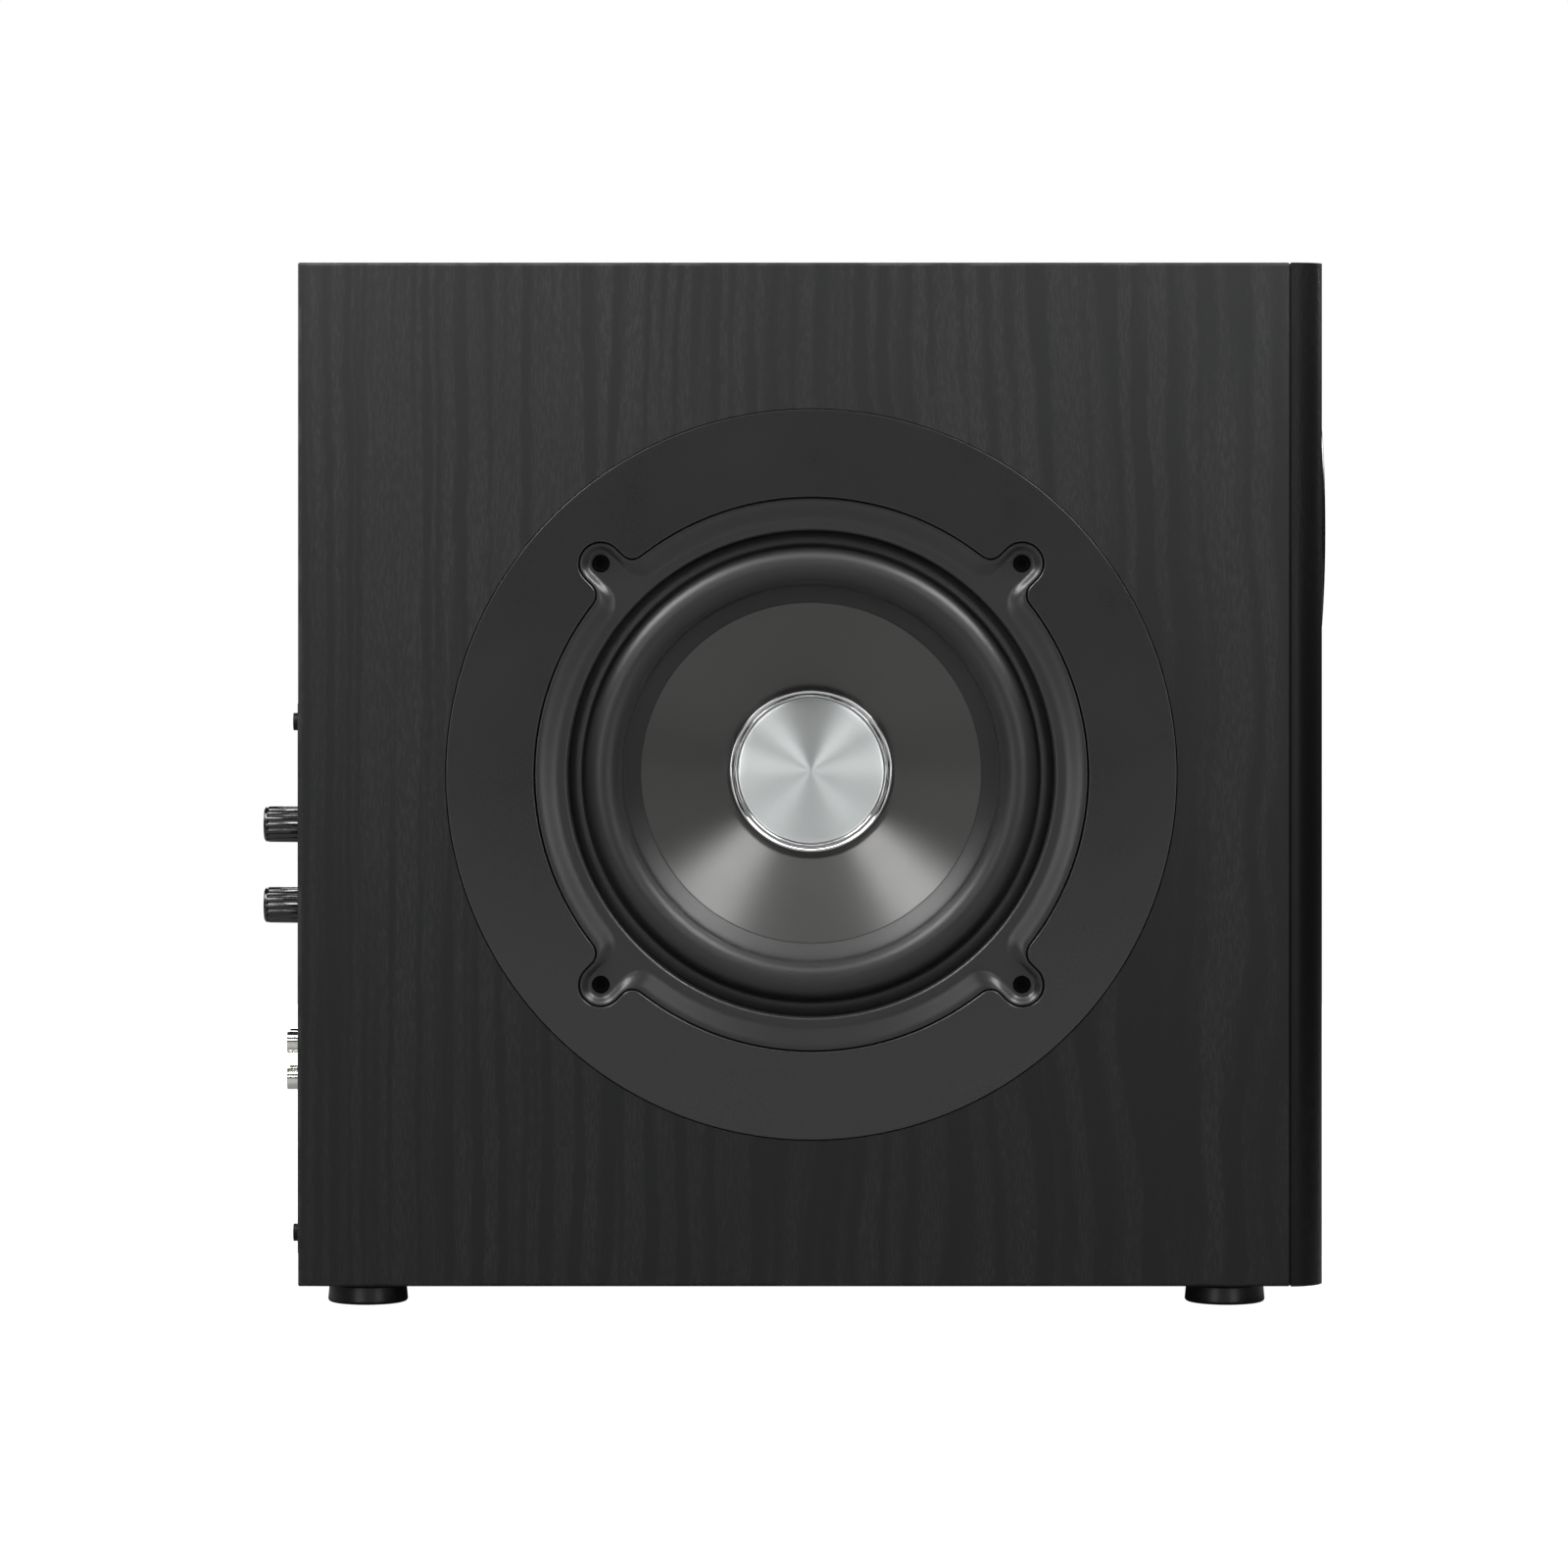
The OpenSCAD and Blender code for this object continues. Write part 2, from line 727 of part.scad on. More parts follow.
module cone() {
    color([0.18, 0.18, 0.18]) on_driver() rotate_extrude() polygon([
        [former_r, -neck_depth], [roll_inner_r, rim_z], [roll_inner_r, rim_z - cone_t],
        [former_r + 1, -neck_depth - cone_t], [former_r + 1, -neck_depth - 3], [former_r, -neck_depth - 3]
    ]);
}

// Bright ring that holds the dust cap
module dust_cap_ring() {
    low = cone_z(cap_ring_r);
    color([0.75, 0.76, 0.77]) on_driver() rotate_extrude() polygon([
        [cap_r - ring_lip, cone_z(cap_r - ring_lip)], [cap_ring_r, low], [cap_ring_r, ring_top - 0.8],
        [cap_ring_r - 0.6, ring_top], [cap_ring_r - 1.4, ring_top], [cap_ring_r - 1.8, ring_top - 0.4],
        [ring_inner_r + 0.6, ring_top - 0.4], [ring_inner_r, ring_top],
        [ring_inner_r, cap_edge_z - cap_t], [cap_r - ring_lip, cap_edge_z - cap_t]
    ]);
}

// A shallow cone of spun metal
module dust_cap() {
    color([0.8, 0.83, 0.82]) on_driver() rotate_extrude() polygon([
        [0, cap_edge_z + cap_rise - cap_t], [cap_r - ring_lip, cap_edge_z - cap_t],
        [cap_r, cap_edge_z - cap_t], [cap_r, cap_edge_z], [0, cap_edge_z + cap_rise]
    ]);
}

module voice_coil_former() {
    color([0.7, 0.68, 0.6]) on_driver() ring(former_r, former_r - former_wall, former_end, former_top);
}

module voice_coil() {
    color([0.72, 0.4, 0.2]) on_driver()
        ring(former_r + coil_t, former_r, coil_mid - coil_len / 2, coil_mid + coil_len / 2);
}

// Level of the corrugated spider at a radius
function spider_z(r) =
    shelf_z + spider_t / 2 + spider_wave
    * (1 - cos(360 * spider_waves * (spider_r - 4 - r) / (spider_r - 8 - former_r))) / 2;

module spider() {
    inner = former_r;
    steps = 40;
    edge = spider_r - 4;
    radii = [for (i = [0 : steps]) inner + 4 + (edge - inner - 4) * i / steps];
    half = spider_t / 2;
    color([0.78, 0.62, 0.2]) on_driver() rotate_extrude() polygon(concat(
        [[inner, spider_z(inner + 4) + half]],
        [for (r = radii) [r, spider_z(r) + half]],
        [[spider_r, shelf_z + spider_t], [spider_r, shelf_z]],
        [for (i = [steps : -1 : 0]) [radii[i], spider_z(radii[i]) - half]],
        [[inner, spider_z(inner + 4) - half]]
    ));
}

module top_plate() {
    color([0.5, 0.5, 0.52]) on_driver() ring(plate_r, gap_r, magnet_top, yoke_top);
}

module magnet() {
    color([0.12, 0.12, 0.13]) on_driver() ring(magnet_r, gap_r + 6, magnet_end, magnet_top);
}

// Back plate with the pole and its vent
module pole_yoke() {
    color([0.5, 0.5, 0.52]) on_driver() difference() {
        union() {
            ring(plate_r, 0, motor_end, magnet_end);
            ring(pole_r, 0, motor_end, yoke_top);
        }
        ring(vent_r, 0, motor_end - over, yoke_top + over);
    }
}

module magnet_boot() {
    color([0.06, 0.06, 0.06]) on_driver() {
        ring(magnet_r + boot_gap + boot_t, magnet_r + boot_gap, motor_end, magnet_top - 1);
        ring(magnet_r + boot_gap + boot_t, vent_r + 4, motor_end - boot_t, motor_end);
    }
}

// Board with two lugs, standing on the spider shelf
module terminal_board() {
    color([0.45, 0.3, 0.15]) on_driver() {
        intersection() {
            ring(leg_foot_r, board_r, shelf_z, board_top);
            translate([-board_w / 2, 0, shelf_z]) cube([board_w, shelf_r, board_top - shelf_z]);
        }
        for (x = [-1, 1]) translate([x * lug_gap / 2 - lug_w / 2, leg_foot_r - 1, lug_z])
            cube([lug_w, lug_end - leg_foot_r + 1, lug_t]);
    }
}

module flexible_leads() {
    end_r = board_r + 0.7;
    top = cone_back(flex_start) - flex_r;
    end = board_top + flex_r + 0.03;
    color([0.75, 0.6, 0.35]) on_driver() for (x = [-1, 1])
        tube(curve([
            [x * lug_gap / 2, flex_start, top], [x * lug_gap / 2, flex_start + 8, top - 7],
            [x * lug_gap / 2, end_r - 10, end], [x * lug_gap / 2, end_r, end]
        ], 9), flex_r);
}

// ---------- Port ----------

port_end_z = -port_len;
socket_wall = 3;
flare_socket_r = port_r + port_wall + socket_wall + lay_gap;
throat_z = -14;
lip_round = 2.5;

// Flared ring: bell inside, round lip, and a socket that takes the tube
module port_flare() {
    bell = flare_r - lip_round - port_r;
    rise = flare_proud - throat_z;
    tube_r = port_r + port_wall;
    color([0.02, 0.02, 0.02]) on_port() rotate_extrude() polygon(concat(
        [for (i = [0 : 18]) let (t = 5 * i) [port_r + bell * (1 - cos(t)), throat_z + rise * sin(t)]],
        arc(flare_r - lip_round, flare_proud - lip_round, lip_round, 78, 0, 5),
        [[flare_r, 0], [flare_r - 3, 0], [flare_r - 3, 5], [tube_r + socket_wall + 6, 0]],
        [[tube_r + socket_wall, 0], [tube_r + socket_wall, -34], [tube_r, -34], [tube_r, throat_z]]
    ));
}

// Tube that flares a little at its inner end
module port_tube() {
    out = 9;
    long = 14.4;
    bend = [
        for (i = [0 : 8]) let (t = 11.25 * i)
            [port_r + out * (1 - cos(t)), port_end_z + long * (1 - sin(t))]
    ];
    color([0.08, 0.08, 0.08]) on_port() rotate_extrude() polygon(concat(
        [[port_r, throat_z]],
        bend,
        [for (i = [8 : -1 : 0]) bend[i] + [port_wall, port_wall]],
        [[port_r + port_wall, throat_z]]
    ));
}

// ---------- Amplifier panel ----------

module panel_screw_places() {
    for (i = [0 : screw_columns - 1], z = [-1, 1])
        translate([-screw_x + 2 * screw_x * i / (screw_columns - 1), 0, panel_mid_z + z * screw_z])
            children();
}

module jack_places() {
    for (x = [-1, 1], z = [-1, 1])
        translate([jack_x + x * jack_pitch / 2, 0, jack_z + z * jack_pitch / 2]) children();
}

module knob_places() {
    for (z = [volume_z, lowpass_z]) translate([knob_x, 0, z]) children();
}

// Sheet metal with an opening for every control and connector
module amp_panel() {
    y0 = seal_y - over;
    y1 = panel_y + over;
    color([0.07, 0.07, 0.07]) difference() {
        slab(seal_y, panel_y) plate2d(0, panel_mid_z, panel_w, panel_h);
        panel_screw_places() rod(0, 0, y0, y1, pan_shank_r + 0.3);
        knob_places() rod(0, 0, y0, y1, bushing_r + 0.1);
        jack_places() rod(0, 0, y0, y1, jack_r + 0.2);
        rod(jack_x, jack_z, y0, y1, pan_shank_r + 0.3);
        slab(y0, y1) plate2d(phase_x, phase_z, phase_slot_w, phase_slot_h);
        slab(y0, y1) plate2d(power_x, rocker_z, rocker_frame_w - 2, rocker_frame_h - 3);
        slab(y0, y1) plate2d(power_x, inlet_z, inlet_frame_w - 3, inlet_frame_h - 3);
        rod(led_x, led_z, y0, y1, led_r);
    }
}

module amp_seal() {
    color([0.03, 0.03, 0.03]) difference() {
        slab(rear_y, seal_y) plate2d(0, panel_mid_z, panel_w - 1, panel_h - 1);
        slab(rear_y - over, seal_y + over) plate2d(0, panel_mid_z, panel_open_w, panel_open_h);
        panel_screw_places() rod(0, 0, rear_y - over, seal_y + over, pan_shank_r + 0.3);
    }
}

// A pan-head screw in the panel, with a cross recess
module pan_screw(depth) {
    difference() {
        rod(0, 0, panel_y, panel_y + pan_head_t, pan_head_r);
        for (a = [0, 90]) translate([0, panel_y + pan_head_t, 0]) rotate([0, a, 0])
            cube([3.4, 1.8, 0.8], center = true);
    }
    rod(0, 0, panel_y - depth, panel_y, pan_shank_r);
}

module amp_screws() {
    color([0.05, 0.05, 0.05]) {
        panel_screw_places() pan_screw(pan_len);
        translate([jack_x, 0, jack_z]) pan_screw(8);
    }
}

// ---------- Controls ----------

// Fluted knob, hollow over the nut, with a round base and a bevelled end
module knob(z) {
    r = knob_d / 2;
    base = 1.2;
    end = 1.6;
    color([0.03, 0.03, 0.03]) translate([knob_x, 0, z]) difference() {
        union() {
            rod(0, 0, knob_base, knob_base + base, r);
            slab(knob_base + base, knob_end - end)
                polygon([for (i = [0 : knob_flats - 1])
                    let (t = 360 * (i + 0.5) / knob_flats) [r * cos(t), r * sin(t)]]);
            translate([0, knob_end - end, 0]) rotate([-90, 0, 0]) rotate_extrude() polygon([
                [0, 0], [r - 0.35, 0], [r - 0.35, 0.5], [r - 1.3, end], [0, end]
            ]);
        }
        rod(0, 0, knob_base - over, knob_base + knob_hollow, nut_across / 2 + 1);
        rod(0, 0, knob_base - over, knob_end - 4, shaft_r);
        slab(knob_end - marker_t, knob_end + over) marker_shape();
    }
}

// Pointer on the end of a knob
module marker_shape() {
    translate([-marker_w / 2, 1.5]) square([marker_w, knob_d / 2 - 3.2]);
}

module marker(z) {
    color([0.85, 0.85, 0.85]) translate([knob_x, 0, z]) slab(knob_end - marker_t, knob_end) marker_shape();
}

// Shaft from inside the potentiometer to inside the knob
module shaft(z) {
    color([0.7, 0.7, 0.68]) translate([knob_x, 0, z]) rod(0, 0, board_y + 3, knob_end - 4, shaft_r);
}

module potentiometers() {
    inside = shaft_r + run_gap;
    color([0.55, 0.55, 0.5]) knob_places() difference() {
        union() {
            rod(0, 0, board_y, seal_y, pot_r);
            rod(0, 0, seal_y - over, panel_y + nut_t, bushing_r);
        }
        rod(0, 0, board_y + 2.5, panel_y + nut_t + over, inside);
    }
}

module pot_nuts() {
    color([0.6, 0.6, 0.6]) knob_places() difference() {
        slab(panel_y, panel_y + nut_t) circle(r = nut_across / 2 / cos(30), $fn = 6);
        rod(0, 0, panel_y - over, panel_y + nut_t + over, bushing_r);
    }
}

module phase_switch() {
    travel = phase_travel / 2;
    color([0.5, 0.5, 0.52]) translate([phase_x, 0, phase_z]) difference() {
        slab(board_y, seal_y) plate2d(0, 0, 16, 8);
        slab(seal_y - 6, seal_y + over) plate2d(0, 0, phase_tab_w + 2 * travel + 1, phase_tab_h + 0.6);
    }
}

// The tab rests at the end of its slot nearer the driver side.
module phase_slider() {
    color([0.06, 0.06, 0.06]) translate([phase_x - phase_travel / 2, 0, phase_z])
        slab(seal_y - 5.7, panel_y + phase_tab_proud) plate2d(0, 0, phase_tab_w, phase_tab_h);
}

module rocker_frame() {
    w = rocker_w + 0.8;
    h = rocker_h + 0.8;
    color([0.05, 0.05, 0.05]) translate([power_x, 0, rocker_z]) difference() {
        union() {
            slab(panel_y, panel_y + rocker_bezel) plate2d(0, 0, rocker_frame_w, rocker_frame_h);
            slab(seal_y - rocker_depth, panel_y) plate2d(0, 0, rocker_frame_w - 2, rocker_frame_h - 3);
        }
        slab(seal_y - rocker_depth + 1.5, panel_y + rocker_bezel + over) plate2d(0, 0, w, h);
        rocker_pins(rocker_pin_r + run_gap, rocker_pin_half + 0.2);
    }
}

// Pivot pins of the rocker
module rocker_pins(r, half) {
    translate([-half, rocker_pivot_y, 0]) rotate([0, 90, 0]) cylinder(r = r, h = 2 * half);
}

// Rocker with two sloping faces, resting with its lower half pressed
module power_rocker() {
    u = rocker_h / 2;
    section = [
        [-u + 0.6, -4], [-u + 0.6, 4.5], [-u + 1.4, 7.6], [0, 6],
        [u - 1.4, 7.6], [u - 0.6, 4.5], [u - 0.6, -4]
    ];
    color([0.04, 0.04, 0.04]) translate([power_x, 0, rocker_z]) {
        translate([-rocker_w / 2, rocker_pivot_y, 0]) rotate([-rocker_tilt, 0, 0]) rotate([90, 0, 90])
            linear_extrude(rocker_w) polygon([for (p = section) [p[1], p[0]]]);
        rocker_pins(rocker_pin_r, rocker_pin_half);
    }
}

// Corners of the mains inlet's opening, with two of them cut off
function inlet_shape(w, h, cut) = [
    [-w / 2, -h / 2 + cut], [-w / 2 + cut, -h / 2], [w / 2 - cut, -h / 2], [w / 2, -h / 2 + cut],
    [w / 2, h / 2], [-w / 2, h / 2]
];

module mains_inlet() {
    floor_y = panel_y - inlet_depth;
    color([0.05, 0.05, 0.05]) translate([power_x, 0, inlet_z]) difference() {
        union() {
            slab(panel_y, panel_y + inlet_bezel) plate2d(0, 0, inlet_frame_w, inlet_frame_h);
            slab(floor_y - 3, panel_y) plate2d(0, 0, inlet_frame_w - 3, inlet_frame_h - 3);
        }
        slab(floor_y, panel_y + inlet_bezel + over) polygon(inlet_shape(inlet_w, inlet_h, 4.5));
        inlet_pin_places() slab(floor_y - 3 - over, floor_y + over) plate2d(0, 0, pin_t, pin_w);
    }
}

module inlet_pin_places() {
    for (p = [[-7, -2], [0, 2], [7, -2]]) translate([p[0], 0, p[1]]) children();
}

module inlet_pins() {
    floor_y = panel_y - inlet_depth;
    color([0.75, 0.72, 0.6]) translate([power_x, 0, inlet_z]) inlet_pin_places()
        slab(floor_y - 9, panel_y - 3) plate2d(0, 0, pin_t, pin_w);
}

module indicator_light() {
    color([0.7, 0.1, 0.05]) translate([led_x, 0, led_z]) {
        rod(0, 0, seal_y - 4, panel_y + 0.3, led_r);
        translate([0, panel_y + 0.3, 0]) intersection() {
            sphere(r = led_r);
            translate([-led_r, 0, -led_r]) cube([2 * led_r, led_r, 2 * led_r]);
        }
    }
}

// ---------- Phono block ----------

module jack_block() {
    color([0.06, 0.06, 0.06]) difference() {
        slab(board_y, seal_y) plate2d(jack_x, jack_z, jack_block_w, jack_block_w);
        jack_places() rod(0, 0, board_y + 2, seal_y + over, jack_r - jack_wall);
        rod(jack_x, jack_z, seal_y - 7.2, seal_y + over, pan_shank_r);
    }
}

// Shells that a phono plug's skirt slides over
module jack_shells() {
    color([0.78, 0.78, 0.76]) jack_places() difference() {
        union() {
            rod(0, 0, seal_y, panel_y + jack_len, jack_r);
            rod(0, 0, panel_y, panel_y + jack_flange_t, jack_flange_r);
        }
        rod(0, 0, seal_y - over, panel_y + jack_len + over, jack_r - jack_wall);
    }
}

module jack_insert() {
    difference() {
        rod(0, 0, board_y + 2, panel_y + jack_len - 0.6, jack_r - jack_wall);
        rod(0, 0, board_y + 2 - over, panel_y + jack_len + over, jack_bore_r);
    }
}

module jack_inserts(row) {
    for (x = [-1, 1]) translate([jack_x + x * jack_pitch / 2, 0, jack_z + row * jack_pitch / 2])
        jack_insert();
}

module jack_inserts_white() {
    color([0.88, 0.88, 0.86]) jack_inserts(1);
}

module jack_inserts_red() {
    color([0.7, 0.05, 0.05]) jack_inserts(-1);
}

// ---------- Electronics ----------

board_inner_y = board_y - board_t;

module circuit_board() {
    color([0.05, 0.3, 0.12]) difference() {
        slab(board_inner_y, board_y) plate2d(pcb_x, panel_mid_z, pcb_w, pcb_h);
        slab(board_inner_y - over, board_y + over) {
            plate2d(power_x, rocker_z, rocker_frame_w, rocker_frame_h);
            plate2d(power_x, inlet_z, inlet_frame_w, inlet_frame_h);
        }
    }
}

// Extruded comb on the back of the circuit board
module heat_sink() {
    y0 = board_inner_y;
    pitch = (sink_w - sink_fin_t) / (sink_fins - 1);
    x0 = sink_x - sink_w / 2;
    z0 = panel_mid_z - sink_h / 2 + 20;
    color([0.65, 0.66, 0.68]) {
        block([x0, y0 - sink_base, z0], [x0 + sink_w, y0, z0 + sink_h]);
        for (i = [0 : sink_fins - 1])
            block([x0 + i * pitch, y0 - sink_base - sink_fin_len, z0],
                [x0 + i * pitch + sink_fin_t, y0 - sink_base, z0 + sink_h]);
    }
}

module capacitors() {
    color([0.1, 0.12, 0.3]) for (x = [-18, 8, 34])
        rod(x, panel_mid_z - 42, board_inner_y - cap_can_h, board_inner_y, cap_can_r);
}

bolt_r = 3;
bolt_in = 10;

module transformer() {
    e = 6;
    z0 = base_z + wall + 2;
    color([0.75, 0.65, 0.2]) translate([toroid_x, toroid_y, z0]) rotate_extrude() polygon(concat(
        arc(toroid_r - e, e, e, -90, 0, 6),
        arc(toroid_r - e, toroid_t - e, e, 0, 90, 6),
        arc(toroid_hole_r + e, toroid_t - e, e, 90, 180, 6),
        arc(toroid_hole_r + e, e, e, 180, 270, 6)
    ));
}

// Rubber pad, dished washer and bolt that hold the transformer
module transformer_mount() {
    z0 = base_z + wall;
    top = z0 + 2 + toroid_t;
    color([0.6, 0.6, 0.6]) translate([toroid_x, toroid_y, 0]) {
        ring(toroid_r - 4, bolt_r, z0, z0 + 2);
        ring(toroid_r - 12, bolt_r, top, top + 2);
        translate([0, 0, z0 - bolt_in]) cylinder(r = bolt_r, h = bolt_in + 2 + toroid_t + 4);
        translate([0, 0, top + 2]) cylinder(r = 5.5, h = 4, $fn = 6);
    }
}

module driver_lead() {
    start_x = side_x - lug_z - lug_t / 2;
    start_y = driver_y + lug_end;
    color([0.6, 0.08, 0.06]) for (i = [-1, 1])
        tube(curve([
            [start_x, start_y, driver_z + i * lug_gap / 2],
            [start_x, start_y + 40, driver_z + i * wire_gap / 2],
            [wire_x, board_inner_y - 50, wire_z + i * wire_gap / 2],
            [wire_x, board_inner_y, wire_z + i * wire_gap / 2]
        ], 12), wire_r);
}

// ---------- Nodes ----------

driver_side_panel();
plain_side_panel();
top_panel();
bottom_panel();
front_baffle();
rear_panel();
cross_brace();
damping_wool();
foot(-foot_x, foot_front_y);  // foot_front_left
foot(foot_x, foot_front_y);  // foot_front_right
foot(-foot_x, foot_rear_y);  // foot_rear_left
foot(foot_x, foot_rear_y);  // foot_rear_right
foot_screws();
driver_trim_ring();
driver_basket();
driver_gasket();
driver_screws();
surround();
cone();
dust_cap();
dust_cap_ring();
voice_coil_former();
voice_coil();
spider();
top_plate();
magnet();
pole_yoke();
magnet_boot();
terminal_board();
flexible_leads();
port_flare();
port_tube();
amp_panel();
amp_seal();
amp_screws();
knob(volume_z);  // volume_knob
marker(volume_z);  // volume_marker
shaft(volume_z);  // volume_shaft
knob(lowpass_z);  // lowpass_knob
marker(lowpass_z);  // lowpass_marker
shaft(lowpass_z);  // lowpass_shaft
potentiometers();
pot_nuts();
jack_block();
jack_shells();
jack_inserts_white();
jack_inserts_red();
phase_switch();
phase_slider();
rocker_frame();
power_rocker();
mains_inlet();
inlet_pins();
indicator_light();
circuit_board();
heat_sink();
capacitors();
transformer();
transformer_mount();
driver_lead();
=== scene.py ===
"""Looks for the subwoofer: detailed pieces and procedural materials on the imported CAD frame."""
import math

import bmesh
import bpy
import numpy as np
from mathutils import Matrix, Vector
from mathutils.geometry import delaunay_2d_cdt


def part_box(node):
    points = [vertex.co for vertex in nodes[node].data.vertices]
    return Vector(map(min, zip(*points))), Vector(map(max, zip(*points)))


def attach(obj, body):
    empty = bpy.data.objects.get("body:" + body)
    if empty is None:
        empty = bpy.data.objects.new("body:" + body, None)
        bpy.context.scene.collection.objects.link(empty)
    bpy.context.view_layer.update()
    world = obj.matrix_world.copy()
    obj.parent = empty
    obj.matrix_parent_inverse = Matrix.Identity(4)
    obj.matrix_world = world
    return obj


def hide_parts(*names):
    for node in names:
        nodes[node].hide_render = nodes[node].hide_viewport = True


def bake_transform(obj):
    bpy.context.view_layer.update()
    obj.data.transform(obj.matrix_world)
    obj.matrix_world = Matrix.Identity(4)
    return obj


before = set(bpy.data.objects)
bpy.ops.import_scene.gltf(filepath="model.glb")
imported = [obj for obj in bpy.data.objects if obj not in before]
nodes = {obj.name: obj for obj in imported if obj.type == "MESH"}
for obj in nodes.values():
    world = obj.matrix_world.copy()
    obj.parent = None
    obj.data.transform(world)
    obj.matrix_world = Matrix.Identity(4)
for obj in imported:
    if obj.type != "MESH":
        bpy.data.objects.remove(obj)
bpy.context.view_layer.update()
bpy.context.scene.view_settings.view_transform = "Standard"

MM = 0.001
TURN = 6.283  # radians in a turn, for the wave patterns
lo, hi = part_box("driver_trim_ring")
SIDE_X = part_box("driver_side_panel")[0].x
DRIVER_Y = (lo.y + hi.y) / 2
DRIVER_Z = (lo.z + hi.z) / 2
lo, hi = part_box("port_flare")
PORT_Z = (lo.z + hi.z) / 2
FRONT_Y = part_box("front_baffle")[0].y
REAR_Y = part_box("rear_panel")[1].y
PANEL_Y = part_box("amp_panel")[1].y
CAB_LO = Vector((SIDE_X, FRONT_Y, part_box("bottom_panel")[0].z))
CAB_HI = Vector((-SIDE_X, REAR_Y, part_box("top_panel")[1].z))


# ---------------------------------------------------------------- node graphs

class Graph:
    """One material with a Principled shader, and short calls for its nodes."""

    def __init__(self, name, **shader):
        self.material = bpy.data.materials.new(name)
        self.material.use_nodes = True
        self.tree = self.material.node_tree
        self.tree.nodes.clear()
        self.shader = self.add("ShaderNodeBsdfPrincipled")
        self.add("ShaderNodeOutputMaterial", {0: self.shader.outputs[0]})
        self.coords = self.add("ShaderNodeTexCoord").outputs["Object"]
        self.set(**shader)

    def set(self, **shader):
        for key, value in shader.items():
            self.put(self.shader.inputs[key.replace("_", " ").title().replace("Ior", "IOR")], value)

    def put(self, socket, value):
        if isinstance(value, bpy.types.NodeSocket):
            self.tree.links.new(value, socket)
        elif socket.type == "RGBA" and not isinstance(value, (int, float)):
            socket.default_value = (*value[:3], 1)
        else:
            socket.default_value = value

    def add(self, kind, inputs=None, **props):
        node = self.tree.nodes.new(kind)
        for key, value in props.items():
            setattr(node, key, value)
        for key, value in (inputs or {}).items():
            self.put(node.inputs[key], value)
        return node

    def math(self, op, a, b=0.0, c=None, clamp=False):
        values = {0: a, 1: b}
        if c is not None:
            values[2] = c
        return self.add("ShaderNodeMath", values, operation=op, use_clamp=clamp).outputs[0]

    def axes(self):
        return self.add("ShaderNodeSeparateXYZ", {0: self.coords}).outputs

    def vector(self, x, y, z):
        return self.add("ShaderNodeCombineXYZ", {0: x, 1: y, 2: z}).outputs[0]

    def scaled(self, scale):
        return self.add("ShaderNodeMapping", {0: self.coords, 3: scale}).outputs[0]

    def noise(self, vector, scale=1.0, detail=2.0, rough=0.5):
        inputs = {"Vector": vector, "Scale": scale, "Detail": detail, "Roughness": rough}
        return self.add("ShaderNodeTexNoise", inputs).outputs[0]

    def range(self, value, a, b, c=0.0, d=1.0, smooth=True):
        return self.add("ShaderNodeMapRange", {0: value, 1: a, 2: b, 3: c, 4: d},
                        interpolation_type="SMOOTHSTEP" if smooth else "LINEAR").outputs[0]

    def mix(self, factor, a, b):
        return self.add("ShaderNodeMix", {0: factor, 6: a, 7: b}, data_type="RGBA").outputs[2]

    def bump(self, height, strength, distance):
        return self.add("ShaderNodeBump", {"Height": height, "Strength": strength, "Distance": distance}).outputs[0]


def tint(colour, k):
    return tuple(c * k for c in colour)


def moulded(name, colour, rough=0.4, grain=900.0, bump=0.15, vary=0.12, distance=0.00012, **shader):
    """Moulded plastic, rubber or paint: fine grain, slow change of colour and gloss."""
    g = Graph(name, **shader)
    slow = g.noise(g.coords, 22, 3, 0.6)
    fine = g.noise(g.coords, grain, 3, 0.55)
    g.set(base_color=g.mix(slow, tint(colour, 1 - vary), tint(colour, 1 + vary)))
    both = g.math("ADD", g.math("MULTIPLY", fine, 0.5), g.math("MULTIPLY", slow, 0.5))
    g.set(roughness=g.range(both, 0.2, 0.8, rough * 0.85, min(1, rough * 1.15), False))
    g.set(normal=g.bump(fine, bump, distance))
    return g.material


def brushed(name, colour, rough=0.3, along=(60, 60, 2400), bump=0.12, vary=0.15, metallic=1.0, **shader):
    """Metal with fine lines, and faint marks in its gloss. along gives each axis its line density."""
    g = Graph(name, metallic=metallic, **shader)
    lines = g.noise(g.scaled(along), 1, 3, 0.6)
    slow = g.noise(g.coords, 35, 4, 0.65)
    g.set(base_color=g.mix(lines, tint(colour, 1 - vary), tint(colour, 1 + vary)))
    g.set(roughness=g.range(slow, 0.25, 0.75, rough * 0.75, min(1, rough * 1.3), False))
    g.set(normal=g.bump(lines, bump, 0.00005))
    return g.material


